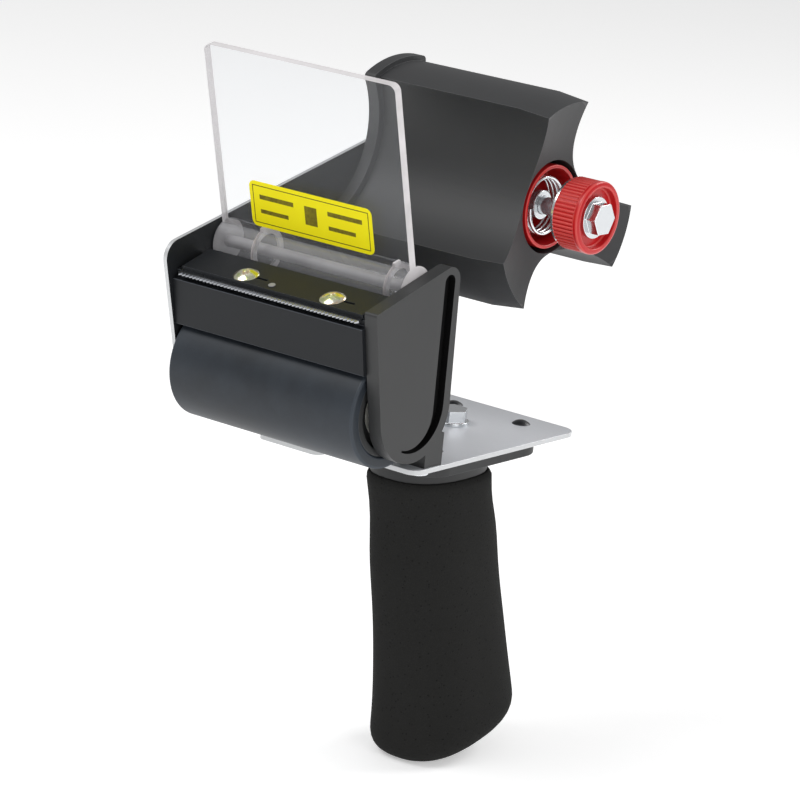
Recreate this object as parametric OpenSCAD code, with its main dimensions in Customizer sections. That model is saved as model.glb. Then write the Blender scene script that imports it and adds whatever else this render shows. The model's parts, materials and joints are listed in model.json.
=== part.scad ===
// Pistol-grip dispenser for packing tape on a 76 mm core.
// Frame: origin at the middle of the grip's top face, +Z up and square to the base plate,
// +X along the roller and the tape hub towards the open side, -Y towards the blade.

/* [Tape] */
// Width of the tape roll that the gun takes
tape_w = 75; // [48:0.5:80]
// Bore of the tape's paper core
core_bore_d = 77; // [70:0.1:80]
// Play between the hub's lobes and the core, on the radius
core_play = 0.1; // [0.1:0.05:0.6]
// Play on each side between the tape and the walls
side_play = 2.2; // [1:0.1:4]

/* [Head layout] */
// How far the hub's axis lies behind the roller's axis
hub_back = 90; // [84:0.2:110]
// How far the hub's axis lies above the roller's axis
hub_rise = 55.6; // [52:0.2:80]
// How far the roller's axis lies in front of the middle of the grip
roller_ahead = 61.8; // [58:0.2:74]
// How far the middle of the grip lies to the right of the middle of the tape
grip_shift = 10.8; // [0:0.2:14]

/* [Base plate] */
// Thickness of the zinc-plated base plate
base_t = 1.6; // [1.2:0.1:2.5]
// Gap between the roller and the base plate's top
roller_gap = 2.2; // [0.6:0.1:3]
// How far the base plate runs behind the hub's axis
base_tail = 12.5; // [12:0.5:30]
// Distance of the base plate's front edge behind the roller's axis
base_front = 12; // [8:0.5:16]
// Width of the front tongue
tongue_w = 26; // [16:1:40]
// How far the tongue reaches in front of the base plate
tongue_l = 8.5; // [4:0.5:10]
// Radius of the base plate's rear corners
base_corner_r = 6; // [4:0.5:14]

/* [Side plate] */
// Thickness of the left side plate
side_t = 1.5; // [1.2:0.1:2.5]
// Radius of the side plate around the hub's spindle
side_eye_r = 13.6; // [12:0.2:20]
// Width of the side plate's foot on the base plate
side_foot_w = 12; // [10:0.5:16]

/* [Right cover] */
// Thickness of the right cover
cover_t = 5; // [4.2:0.1:7]
// Radius of the cover's round lower end
cover_r = 17.8; // [16:0.2:19]
// Height of the cover's front top corner above the roller's axis
cover_front_h = 34.9; // [33:0.2:40]
// Width of the cover's channel
channel_w = 5.2; // [3:0.1:6]
// Depth of the cover's channel
channel_d = 2.6; // [1:0.1:3]

/* [Roller] */
// Outer radius of the rubber roller
roller_r = 19; // [17:0.2:22]
// Thickness of the rubber
rubber_t = 4; // [2:0.2:6]
// Radius of the roller's steel axle
axle_r = 4; // [3:0.1:5]
// Clearance of the roller's end to each wall
roller_end_gap = 1; // [0.5:0.1:2]

/* [Blade] */
// Thickness of the blade bridge's sheet
bridge_t = 2; // [1.5:0.1:3]
// Height of the bridge's front plate along its slope
front_plate_h = 15.8; // [13:0.2:16.4]
// Depth of the bridge's top plate along its slope
top_plate_d = 15; // [13:0.5:16]
// Thickness of the blade
blade_t = 0.8; // [0.5:0.1:1.2]
// How far the blade's teeth stand out of the front plate
blade_reach = 1.8; // [1:0.1:3]
// Distance between two teeth
tooth_pitch = 1.5; // [1:0.1:3]
// Depth of a tooth
tooth_d = 1.3; // [0.8:0.1:1.6]
// Distance between the two blade screws
blade_screw_gap = 36; // [24:0.5:44]
// How far the pair of blade screws is set off to the right
blade_screw_shift = 5; // [0:0.2:6]

/* [Guard] */
// Thickness of the clear guard
guard_t = 3; // [2:0.1:4]
// Height of the guard's flat sheet above its barrel
guard_h = 61.5; // [40:0.5:80]
// Lean of the guard to the front, in degrees
guard_lean = 15.5; // [8:0.5:22]
// Radius of the guard's barrel
barrel_r = 7.7; // [6:0.1:8.6]
// Radius of the guard's hinge rod
rod_r = 2; // [1.5:0.1:2.5]
// Length and height of the label
label_size = [51, 16]; // [10:0.5:60]

/* [Hub] */
// Distance from the hub's axis to the middle of a hollow side's arc
hollow_far = 50.2; // [48:0.2:54]
// Radius of the hollow side's arc
hollow_r = 34; // [31:0.2:35]
// Wall of the hub
hub_wall = 2.8; // [2:0.1:4]
// Depth of the dished end
dish_d = 8.8; // [5:0.2:10]
// Length of the tapered end of the lobes
taper_l = 14; // [8:0.5:30]
// How much the lobes lose on the radius over the taper
taper_d = 1.6; // [1:0.1:4]
// Radius of the hub's steel spindle
spindle_r = 5; // [4.4:0.1:6]

/* [Brake and knob] */
// Outer radius of the red spring cup
cup_r = 14.3; // [13.8:0.1:15]
// Radius of the knob over its ribs
knob_r = 12.4; // [11:0.1:12.6]
// Length of the knob
knob_l = 10.8; // [9:0.1:14]
// Number of ribs on the knob
knob_ribs = 54; // [18:1:60]
// Lead of the knob's screw thread for each turn
thread_lead = 1; // [0.75:0.25:1.25]
// Turns from backed off to tight
knob_turns = 11; // [6:1:11]
// Diameter of the brake spring's wire
wire_d = 1.2; // [0.8:0.1:1.5]
// Mean radius of the brake spring
spring_r = 9.6; // [8:0.1:10.4]

/* [Grip] */
// Width of the foam grip at its top
grip_w = 34.5; // [30:0.5:42]
// Depth of the foam grip at its top, front to back
grip_d = 48; // [44:0.5:58]
// Length of the foam grip along its middle line
grip_l = 102; // [90:1:130]
// Lean of the grip to the back, in degrees
grip_lean = 13.6; // [5:0.2:20]
// How much deeper the grip is near its bottom
grip_flare = 11; // [0:0.5:14]
// How far the grip's front lip reaches out at the bottom
grip_lip = 2; // [0:0.5:5]
// Thickness of the plastic flange under the base plate
flange_t = 6.4; // [5.4:0.2:9]
// Width of the plastic flange
flange_w = 48; // [44:0.5:56]
// Length of the plastic flange
flange_l = 66; // [60:0.5:72]
// Height of the plastic neck between the flange and the foam
neck_h = 6.4; // [3:0.2:10]
// Radius of the plastic stem inside the foam
stem_r = 11; // [8:0.2:13]

/* [Hidden] */
$fn = 72;
fit = 0.05;            // running clearance on the radius
eps = 0.01;

inner_w = tape_w + 2 * side_play;
wall_x = inner_w / 2;
head_t = flange_t + neck_h;
head_pos = [-grip_shift, -roller_ahead, head_t + base_t + roller_gap + roller_r];
base_top = -roller_r - roller_gap;
base_low = base_top - base_t;
base_left = -wall_x - side_t;
base_right = wall_x + 2.7;
base_rear = hub_back + base_tail;

cover_mid = [6, 1];
cover_front_y = -18.9;
cover_rear_r = 5;
cover_nose_r = 1.2;
cover_rear_y = cover_mid[0] + cover_r - 0.8;
front_lean = 11;       // lean of the bridge's front plate
top_slope = 17.6;      // rise of the cover's top edge towards the back
cover_rear_h = cover_front_h + (cover_rear_y - cover_rear_r - cover_front_y) * tan(top_slope)
  - cover_rear_r * (1 / cos(top_slope));

blade_lift = 2.2;        // height of the step that carries the blade
step_back = 1.8;
blade_nose = [cover_front_y - 0.3, cover_front_h - 3.2];
bridge_nose = blade_nose - [0, blade_lift / cos(top_slope)];
bridge_x = wall_x - 0.1;
seat_t = bridge_t + blade_lift;        // sheet and step under the blade
blade_back = 12;
clamp_t = 1.4;
clamp_front = 1.1;
clamp_left = -bridge_x + 3.2;
slot_l = 6;
blade_shift = 1;
screw_back = 5.8;        // distance of the blade screws behind the front plate
m4_r = 2;
pin_pos = [-0.5, 3.8];
pin_r = 0.9;

rod_pos = [6.8, 39.2];
sheet_foot = rod_pos + [-4.1, 7.8];   // where the sheet's front face meets the barrel
guard_x = wall_x - 0.4;
label_x = -0.1;
label_up = 0.9;
label_t = 0.25;
slit_x = [-22.5, 32.8];
slit_w = 1;
slit_deep = 2;

hub_pos = [hub_back, hub_rise];
lobe_r = core_bore_d / 2 - core_play;
lobe_phase = 99.8;    // direction of the first lobe, from +Y towards +Z
hub_end = tape_w / 2 + 1.4;
hub_far = -wall_x + 1.4;
lip_l = 4.5;
lip_h = 1.8;
lip_grow = 2.5;          // how much shallower the hollow sides are at the lip
boss_r = 12;
bush_r = 8;
bush_l = 10;
hub_face = hub_end - dish_d;           // plane of the cup's rim
cup_l = 12;
cup_hole_r = cup_r + 1.7;
cup_wall = 1.2;
cup_floor = 2;
cup_foot = hub_face - cup_l;
disc_t = 1.2;
shoulder = cup_foot - disc_t;          // floor of the hub's pocket
spring_len = cup_l - cup_floor - 1.1;
spring_turns = 4.25;
bolt_r = 3;
spindle_tip = hub_face - 3.5;
knob_travel = knob_turns * thread_lead;
thread_in = 6;         // how deep the knob's bolt stays in the spindle when it is backed off
bolt_tip = spindle_tip - thread_in;
spindle_bore = thread_in + knob_travel + 2;

knob_back = hub_end + 0.1;
knob_front = knob_back + knob_l;
recess_r = 10.1;
recess_d = 2.6;
washer_t = 1;
washer_r = 11.4;
head_flange_r = 7.1;
head_flange_t = 1.4;
hex_af = 10;

flange_corner_r = 12;
rivet_r = 2;
rivet_head_r = 3.2;
grip_bolt_y = 9.9;
plate_rivets = [[-18.7, -23.5], [18.7, -23.5], [-14.5, 30.5], [14.5, 30.5]];
foot_front = 25;
foot_rear = base_rear - 12;
foot_rivets = [for (k = [0 : 2]) foot_front + 8 + k * (foot_rear - foot_front - 16) / 2];

// ---- helpers ----
module in_head() { translate(head_pos) children(); }
// an outline in the Y-Z plane, drawn out along X from x0 to x1
module along_x(x0, x1) {
  translate([x0, 0, 0]) rotate([90, 0, 90]) linear_extrude(x1 - x0) children();
}
// an outline in the Y-Z plane with the length l, its middle at x
module along_x_mid(x, l) { along_x(x - l / 2, x + l / 2) children(); }
// a round bar along X about the point p = [y, z]
module bar_x(p, x0, x1, r, fn = 72) {
  translate([x0, p[0], p[1]]) rotate([90, 0, 90]) cylinder(h = x1 - x0, r = r, $fn = fn);
}
module tube_x(p, x0, x1, r, bore) {
  difference() { bar_x(p, x0, x1, r); bar_x(p, x0 - 1, x1 + 1, bore); }
}
// a hexagon prism along X, across flats af
module hex_x(p, x0, x1, af) { bar_x(p, x0, x1, af / 2 / cos(30), 6); }
// a rectangle with round corners, centred
module round_rect(w, d, r) {
  square([w - 2 * r, d], center = true);
  square([w, d - 2 * r], center = true);
  for (sx = [-1, 1], sy = [-1, 1]) translate([sx * (w / 2 - r), sy * (d / 2 - r)]) circle(r);
}
// a low domed head on the plane z = 0
module dome(r, h) {
  ball = (r * r + h * h) / (2 * h);
  intersection() {
    translate([0, 0, h - ball]) sphere(ball);
    cylinder(h = h + 1, r = r + 1);
  }
}
// the plane that the blade lies on: x across, y back up the slope, z square to it
module on_blade_seat() {
  translate([0, blade_nose[0], blade_nose[1]]) rotate([top_slope, 0, 0]) children();
}
module at_blade_screws() {
  for (s = [-1, 1]) translate([blade_screw_shift + s * blade_screw_gap / 2, screw_back, 0]) children();
}

// ---- base and side plates ----
module base_outline() {
  w = base_right - base_left;
  hull() {
    for (sx = [-1, 1]) {
      translate([sx * (w / 2 - base_corner_r), base_rear - base_corner_r]) circle(base_corner_r);
      translate([sx * (w / 2 - 4), base_front + 4]) circle(4);
    }
  }
}
module base_plate() {
  color("silver") difference() {
    union() {
      in_head() translate([(base_left + base_right) / 2, 0, base_low])
        linear_extrude(base_t) base_outline();
      in_head() translate([-4.6, base_front - tongue_l, base_low])
        translate([0, tongue_l, 0]) linear_extrude(base_t)
          union() {
            translate([-tongue_w / 2 + 3, -tongue_l]) square([tongue_w - 6, tongue_l + 4]);
            translate([-tongue_w / 2, -tongue_l + 3]) square([tongue_w, tongue_l + 1]);
            for (s = [-1, 1]) translate([s * (tongue_w / 2 - 3), -tongue_l + 3]) circle(3);
          }
    }
    for (p = plate_rivets) translate([p[0], p[1], head_t - 1]) cylinder(h = base_t + 2, r = rivet_r);
    for (s = [-1, 1]) translate([0, s * grip_bolt_y, head_t - 1])
      cylinder(h = base_t + 2, r = bolt_r + 0.2);
    in_head() for (y = foot_rivets) translate([-wall_x + side_foot_w / 2 + 1, y, base_low - 1])
      cylinder(h = base_t + 2, r = rivet_r);
    in_head() for (y = cover_foot_ys) translate([cover_screw_x, y, base_low - 1])
      cylinder(h = base_t + 2, r = m4_r + 0.2);
  }
}
module side_outline() {
  hull() {
    translate([cover_front_y + 2, cover_front_h + 1.4]) circle(6);
    translate([6, 0]) circle(18.6);
    translate(hub_pos) circle(side_eye_r);
    translate([base_rear - 12, base_top + 8]) circle(8);
    translate([8, base_top + 3]) circle(3);
  }
}
module side_plate() {
  color([0.1, 0.1, 0.11]) in_head() difference() {
    union() {
      along_x(-wall_x - side_t, -wall_x) side_outline();
      translate([-wall_x - side_t, foot_front, base_top])
        cube([side_foot_w + side_t, foot_rear - foot_front, side_t]);
    }
    bar_x([0, 0], -wall_x - side_t - 1, -wall_x + 1, 2.7);
    bar_x(hub_pos, -wall_x - side_t - 1, -wall_x + 1, spindle_r - 1 + 0.1);
    bar_x(rod_pos, -wall_x - side_t - 1, -wall_x + 1, rod_r + fit);
    for (p = bridge_screw_pos) bar_x(p, -wall_x - side_t - 1, -wall_x + 1, m4_r + 0.1);
    for (y = foot_rivets) translate([-wall_x + side_foot_w / 2 + 1, y, base_top - 1])
      cylinder(h = side_t + 2, r = rivet_r);
  }
}
module side_foot_rivets() {
  color("silver") in_head() for (y = foot_rivets) translate([-wall_x + side_foot_w / 2 + 1, y, 0]) {
    translate([0, 0, base_low]) cylinder(h = base_t + side_t, r = rivet_r);
    translate([0, 0, base_top + side_t]) dome(rivet_head_r, 1.2);
    translate([0, 0, base_low - 1]) cylinder(h = 1, r = rivet_head_r);
  }
}
module plate_rivets_group() {
  color([0.08, 0.08, 0.08]) for (p = plate_rivets) translate([p[0], p[1], 0]) {
    translate([0, 0, head_t - 5]) cylinder(h = 5 + base_t, r = rivet_r);
    translate([0, 0, head_t + base_t]) dome(rivet_head_r, 1.4);
  }
}

// ---- grip ----
grip_step = [-0.08, 0.5, 0.8, 0.93, 0.98, 1];
// how much of the full section is left at the fraction t of the length: the round bottom
function grip_fill(t) = t > 0.99 ? 0.8 : t > 0.95 ? 0.94 : 1;
function grip_half_d(t) = (grip_d / 2 + grip_flare / 2 * pow(max(t, 0), 3)) * grip_fill(t);
function grip_half_w(t) = (grip_w / 2 + grip_flare / 4 * pow(max(t, 0), 3)) * grip_fill(t);
// an oval with flattened sides
function oval(a, b, n) = [for (i = [0 : 35]) let (c = cos(i * 10), s = sin(i * 10))
  [a * sign(c) * pow(abs(c), 2 / n), b * sign(s) * pow(abs(s), 2 / n)]];
module stem_axis() { rotate([grip_lean, 0, 0]) children(); }
module grip_slice(t) {
  stem_axis() translate([0, -grip_lip * pow(max(t, 0), 8), -grip_l * t]) linear_extrude(eps)
    polygon(oval(grip_half_w(t), grip_half_d(t), 2.5));
}
module above_grip() { translate([-60, -60, 0]) cube([120, 120, 60]); }
stem_deep = 0.82 * grip_l;
module foam_grip() {
  color([0.1, 0.1, 0.1]) difference() {
    union() for (i = [0 : len(grip_step) - 2])
      hull() { grip_slice(grip_step[i]); grip_slice(grip_step[i + 1]); }
    above_grip();
    stem_axis() translate([0, 0, -stem_deep]) cylinder(h = stem_deep + 20, r = stem_r);
  }
}
module grip_head() {
  color([0.12, 0.12, 0.12]) difference() {
    union() {
      translate([0, 1, neck_h]) linear_extrude(flange_t) round_rect(flange_w, flange_l, flange_corner_r);
      linear_extrude(neck_h + eps) polygon(oval(grip_w / 2 - 1.5, grip_d / 2 - 1.5, 2.5));
      difference() {
        stem_axis() translate([0, 0, -stem_deep]) cylinder(h = stem_deep + 20, r = stem_r);
        translate([0, 0, neck_h / 2]) above_grip();
      }
    }
    for (p = plate_rivets) translate([p[0], p[1], head_t - 5]) cylinder(h = 6, r = rivet_r);
    for (s = [-1, 1]) translate([0, s * grip_bolt_y, 1]) cylinder(h = head_t, r = bolt_r);
    stem_axis() translate([0, 0, -stem_deep - 1]) cylinder(h = stem_deep - 20, r = stem_r - 3);
  }
}
module grip_bolts() {
  color([0.82, 0.83, 0.86]) for (s = [-1, 1]) translate([0, s * grip_bolt_y, 0]) {
    translate([0, 0, 1]) cylinder(h = head_t + base_t, r = bolt_r);
    translate([0, 0, head_t + base_t]) cylinder(h = 1.2, r = 6.2);
    translate([0, 0, head_t + base_t + 1.2]) cylinder(h = 4, r = hex_af / 2 / cos(30), $fn = 6);
  }
}

// ---- right cover ----
cover_screw_x = wall_x - 4;
cover_foot_ys = [cover_rear_y - 1];
module cover_outline() {
  hull() {
    translate(cover_mid) circle(cover_r);
    translate([cover_front_y + cover_nose_r + 0.2, cover_front_h - 0.6]) circle(cover_nose_r);
    translate([cover_rear_y - cover_rear_r, cover_rear_h]) circle(cover_rear_r);
  }
}
// the channel follows the rear edge and then the round lower end
module channel_outline() {
  inset = 2.6;
  out_r = cover_rear_y - inset - cover_mid[0];
  mid_y = cover_rear_y - inset - channel_w;
  translate([mid_y, cover_mid[1]]) square([channel_w, cover_rear_h - cover_mid[1]]);
  translate([mid_y + channel_w / 2, cover_rear_h]) circle(channel_w / 2);
  difference() {
    translate(cover_mid) circle(out_r);
    // an offset circle takes the middle away, so that the channel runs out in a thin tail
    translate(cover_mid - channel_w * [0.44, 0.31]) circle(out_r - 0.56 * channel_w);
    translate([cover_mid[0] - 40, cover_mid[1]]) square([80, 40]);
    translate([cover_mid[0] - 46, cover_mid[1] - 40]) square([40.5, 60]);
  }
}
bridge_screw_pos = [[-11.4, 22.2], [-7.4, 27.2]];
bridge_head_r = 3;
module right_cover() {
  color([0.09, 0.09, 0.1]) in_head() difference() {
    union() {
      along_x(wall_x, wall_x + cover_t) cover_outline();
      bar_x([0, 0], wall_x - roller_end_gap + 0.2, wall_x + 1, axle_r + 3);
      translate([wall_x - 8, cover_rear_y - 5.5, base_top]) cube([10, 9, 11]);
    }
    along_x(wall_x + cover_t - channel_d, wall_x + cover_t + 1) channel_outline();
    bar_x([0, 0], wall_x - 2, wall_x + 2.4, axle_r);
    bar_x(rod_pos, wall_x - 1, wall_x + 2.4, rod_r + fit);
    for (p = bridge_screw_pos) bar_x(p, wall_x - 1, wall_x + 3.4, m4_r - 0.4);
    for (y = cover_foot_ys) translate([cover_screw_x, y, base_top - 1]) cylinder(h = 9, r = m4_r);
  }
}
module cover_screws() {
  color("silver") in_head() for (y = cover_foot_ys) translate([cover_screw_x, y, 0]) {
    translate([0, 0, base_low]) cylinder(h = base_t + 8, r = m4_r);
    translate([0, 0, base_low - 2]) cylinder(h = 2, r = 3.6);
  }
}

// ---- blade bridge, blade and clamp ----
front_dir = [sin(front_lean), -cos(front_lean)];
module bridge_profile() {
  n = bridge_nose;
  slope_dir = [cos(top_slope), sin(top_slope)];
  inner_corner = n + bridge_t / cos(front_lean - top_slope) * (slope_dir + front_dir);
  f = [n[0] + front_dir[0] * front_plate_h, n[1] + front_dir[1] * front_plate_h];
  t = [n[0] + cos(top_slope) * top_plate_d, n[1] + sin(top_slope) * top_plate_d];
  polygon([n, f, [f[0] + bridge_t * cos(front_lean), f[1] + bridge_t * sin(front_lean)],
    inner_corner,
    [t[0] + bridge_t * sin(top_slope), t[1] - bridge_t * cos(top_slope)], t]);
}
module bridge_ear_outline() {
  n = blade_nose;
  polygon([[n[0] + 2.4, n[1] - 3], [n[0] + 14.2, n[1] + 2], [n[0] + 15.6, n[1] - 8],
    [n[0] + 4.6, n[1] - 15.5]]);
}
module blade_bridge() {
  color([0.09, 0.09, 0.1]) in_head() difference() {
    union() {
      along_x(-bridge_x, bridge_x) bridge_profile();
      on_blade_seat() translate([-bridge_x, step_back, -blade_lift - 0.5])
        cube([2 * bridge_x, top_plate_d - step_back, blade_lift + 0.5]);
      along_x(-bridge_x, -bridge_x + bridge_t) bridge_ear_outline();
      along_x(bridge_x - bridge_t, bridge_x) bridge_ear_outline();
    }
    for (p = bridge_screw_pos) {
      bar_x(p, -bridge_x - 1, -bridge_x + bridge_t + 1, m4_r);
      bar_x(p, bridge_x - bridge_t - 1, bridge_x + 1, m4_r);
    }
    on_blade_seat() at_blade_screws() translate([0, 0, -seat_t - 1]) cylinder(h = seat_t + 2, r = m4_r);
    on_blade_seat() translate([pin_pos[0], pin_pos[1], -seat_t - 1]) cylinder(h = seat_t + 2, r = pin_r);
  }
}
module bridge_screws_left() {
  color("silver") in_head() for (p = bridge_screw_pos) {
    bar_x(p, -wall_x - side_t, -bridge_x + bridge_t + 1.5, m4_r);
    bar_x(p, -wall_x - side_t - 2, -wall_x - side_t, bridge_head_r);
  }
}
module bridge_screws_right() {
  color("silver") in_head() for (p = bridge_screw_pos) {
    bar_x(p, bridge_x - bridge_t - 2, bridge_x - bridge_t, bridge_head_r);
    bar_x(p, bridge_x - bridge_t, bridge_x, m4_r);
    bar_x(p, bridge_x - eps, wall_x + 3.2, m4_r - 0.4);
  }
}
teeth = floor((inner_w - 3) / tooth_pitch);
teeth_w = teeth * tooth_pitch;
module blade() {
  color([0.78, 0.79, 0.82]) in_head() on_blade_seat() difference() {
    translate([blade_shift, 0, 0]) linear_extrude(blade_t) polygon(concat(
      [[teeth_w / 2, blade_back], [-teeth_w / 2, blade_back]],
      [for (i = [0 : teeth - 1], k = [0, 1])
        [-teeth_w / 2 + (i + k / 2) * tooth_pitch, -blade_reach + (1 - k) * tooth_d]],
      [[teeth_w / 2, -blade_reach + tooth_d]]));
    at_blade_screws() translate([0, 0, -1]) cylinder(h = 4, r = m4_r);
    translate([pin_pos[0], pin_pos[1], -1]) cylinder(h = 4, r = pin_r);
  }
}
module blade_clamp() {
  color([0.1, 0.1, 0.11]) in_head() on_blade_seat() difference() {
    translate([clamp_left, clamp_front, blade_t])
      cube([bridge_x - 0.6 - clamp_left, top_plate_d - clamp_front, clamp_t]);
    at_blade_screws() translate([0, 0, 0]) cylinder(h = 4, r = m4_r);
    translate([pin_pos[0], pin_pos[1], 0]) cylinder(h = 4, r = pin_r);
    // the slots along which the screws are set
    at_blade_screws() translate([3, -0.5, 0]) cube([slot_l, 1, 4]);
  }
}
module blade_screws() {
  color([0.85, 0.78, 0.5]) in_head() on_blade_seat() at_blade_screws() {
    translate([0, 0, -seat_t - 4]) cylinder(h = seat_t + 4 + blade_t + clamp_t, r = m4_r);
    translate([0, 0, blade_t + clamp_t]) difference() {
      dome(4.4, 1.6);
      for (a = [0, 90]) rotate([0, 0, a]) translate([-1.5, -0.35, 0.9]) cube([3, 0.7, 3]);
    }
  }
}
module blade_nuts() {
  color("silver") in_head() on_blade_seat() at_blade_screws() difference() {
    translate([0, 0, -seat_t - 3.2]) cylinder(h = 3.2, r = 7 / 2 / cos(30), $fn = 6);
    translate([0, 0, -seat_t - 4]) cylinder(h = 5, r = m4_r);
  }
}
module clamp_pin() {
  color("white") in_head() on_blade_seat() translate([pin_pos[0], pin_pos[1], -seat_t]) {
    cylinder(h = seat_t + blade_t + clamp_t, r = pin_r);
    translate([0, 0, seat_t + blade_t + clamp_t]) cylinder(h = 0.3, r = 1.2);
  }
}

// ---- roller ----
roller_x = wall_x - roller_end_gap;
core_r = roller_r - rubber_t;
roller_bush_l = 8;
roller_bush_r = axle_r + 5;
core_dip = 2.5;        // how deep the core's ends are recessed
core_rim = 2.4;
module roller_axle() {
  color("silver") in_head() difference() {
    bar_x([0, 0], -wall_x, wall_x + 2.4, axle_r);
    bar_x([0, 0], -wall_x - 1, -wall_x + 12, 2.5);
  }
}
module axle_screw() {
  color("silver") in_head() {
    bar_x([0, 0], -wall_x - side_t, -wall_x + 11, 2.5);
    bar_x([0, 0], -wall_x - side_t - 1.2, -wall_x - side_t, 5.2);
    hex_x([0, 0], -wall_x - side_t - 4.4, -wall_x - side_t - 1.2, 8);
  }
}
module roller_sleeve() {
  color([0.14, 0.15, 0.17]) in_head() tube_x([0, 0], -roller_x, roller_x, roller_r, core_r);
}
module roller_core() {
  color([0.3, 0.3, 0.3]) in_head() difference() {
    bar_x([0, 0], -roller_x + 0.5, roller_x - 0.5, core_r);
    bar_x([0, 0], -roller_x, roller_x, roller_bush_r);
    // the ends are recessed around the bushes
    for (s = [-1, 1]) along_x_mid(s * (roller_x - core_dip / 2), core_dip) circle(core_r - core_rim);
  }
}
module roller_bushes() {
  color("gold") in_head() for (s = [-1, 1])
    along_x_mid(s * (roller_x - core_dip - roller_bush_l / 2), roller_bush_l)
      difference() { circle(roller_bush_r); circle(axle_r + fit); }
}

// ---- guard ----
module guard_sheet_frame() {
  translate([0, sheet_foot[0], sheet_foot[1]]) rotate([90 + guard_lean, 0, 0]) children();
}
module guard() {
  color([0.8, 0.85, 0.9, 0.4]) in_head() difference() {
    union() {
      guard_sheet_frame() translate([0, guard_h / 2 - 6, -guard_t]) linear_extrude(guard_t)
        round_rect(2 * guard_x, guard_h + 12, 2.5);
      bar_x(rod_pos, -guard_x, guard_x, barrel_r);
    }
    bar_x(rod_pos, -guard_x - 1, guard_x + 1, rod_r + fit);
    for (x = slit_x) difference() {
      bar_x(rod_pos, x - slit_w / 2, x + slit_w / 2, barrel_r + 1);
      bar_x(rod_pos, x - slit_w, x + slit_w, barrel_r - slit_deep);
      guard_sheet_frame() translate([-guard_x, 0, -guard_t - 4]) cube([2 * guard_x, guard_h, guard_t + 8]);
    }
  }
}
module guard_label() {
  color([1, 0.85, 0.05]) in_head() guard_sheet_frame()
    translate([label_x, label_up + label_size[1] / 2, 0])
      linear_extrude(label_t) round_rect(label_size[0], label_size[1], 2.2);
}
module guard_rod() {
  color("silver") in_head() {
    bar_x(rod_pos, -wall_x - side_t - 2.6, wall_x + 2.3, rod_r);
    bar_x(rod_pos, -wall_x - side_t - 3.4, -wall_x - side_t - 2.6, rod_r);
  }
}
module rod_clip() {
  color([0.2, 0.2, 0.2]) in_head()
    tube_x(rod_pos, -wall_x - side_t - 1, -wall_x - side_t - 0.1, rod_r + 2.4, rod_r);
}

// ---- hub, spindle and brake ----
module hub_outline(grow, r) {
  difference() {
    circle(r);
    for (k = [0 : 2]) rotate(lobe_phase + 60 + 120 * k) translate([hollow_far, 0]) circle(hollow_r - grow);
  }
}
module tape_hub() {
  color([0.13, 0.13, 0.14]) in_head() translate([0, hub_pos[0], hub_pos[1]]) difference() {
    union() {
      // the far end flares out to a lip
      along_x(hub_far, hub_far + lip_l) hub_outline(lip_grow, lobe_r + lip_h);
      intersection() {
        along_x(hub_far, hub_end) hub_outline(0, lobe_r);
        union() {
          bar_x([0, 0], hub_far, hub_end - taper_l, lobe_r);
          translate([hub_end - taper_l, 0, 0]) rotate([0, 90, 0])
            cylinder(h = taper_l, r1 = lobe_r, r2 = lobe_r - taper_d);
        }
      }
    }
    // hollow inside, open to the left, around a central boss
    difference() {
      along_x(hub_far - 1, hub_end - dish_d - cup_l - 4) hub_outline(-hub_wall, lobe_r - hub_wall);
      bar_x([0, 0], hub_far, hub_end, boss_r);
    }
    bar_x([0, 0], hub_far - 1, hub_end, bush_r);
    bar_x([0, 0], shoulder, hub_end + 1, cup_hole_r);
    // dished end
    translate([hub_face, 0, 0]) rotate([0, 90, 0])
      cylinder(h = dish_d + eps, r1 = cup_hole_r, r2 = lobe_r + 3);
  }
}
module hub_bushes() {
  color([0.85, 0.85, 0.8]) in_head() for (x = [hub_far + 1, shoulder - bush_l])
    tube_x(hub_pos, x, x + bush_l, bush_r, spindle_r + fit);
}
module friction_disc() {
  color([0.5, 0.45, 0.4]) in_head() tube_x(hub_pos, shoulder, cup_foot - fit, cup_r - 1, spindle_r + 0.4);
}
module hub_spindle() {
  color([0.8, 0.8, 0.82]) in_head() difference() {
    union() {
      bar_x(hub_pos, -wall_x, spindle_tip, spindle_r);
      bar_x(hub_pos, -wall_x, -wall_x + 1.2, spindle_r + 3.5);
      bar_x(hub_pos, -wall_x - side_t - 7, -wall_x + 1, spindle_r - 1);
    }
    bar_x(hub_pos, spindle_tip - spindle_bore, spindle_tip + 1, bolt_r + fit);
  }
}
module spindle_washer() {
  color("silver") in_head()
    tube_x(hub_pos, -wall_x - side_t - 1.2, -wall_x - side_t, 8.5, spindle_r - 1);
}
module spindle_nut() {
  color("silver") in_head() difference() {
    hex_x(hub_pos, -wall_x - side_t - 1.2 - 5, -wall_x - side_t - 1.2, 13);
    bar_x(hub_pos, -wall_x - side_t - 8, -wall_x, spindle_r - 1);
  }
}
module brake_cup() {
  color([0.8, 0.06, 0.08]) in_head() difference() {
    bar_x(hub_pos, cup_foot, hub_face, cup_r);
    bar_x(hub_pos, cup_foot + cup_floor, hub_face + 1, cup_r - cup_wall);
    bar_x(hub_pos, cup_foot - 1, hub_face, spindle_r);
  }
}
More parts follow.
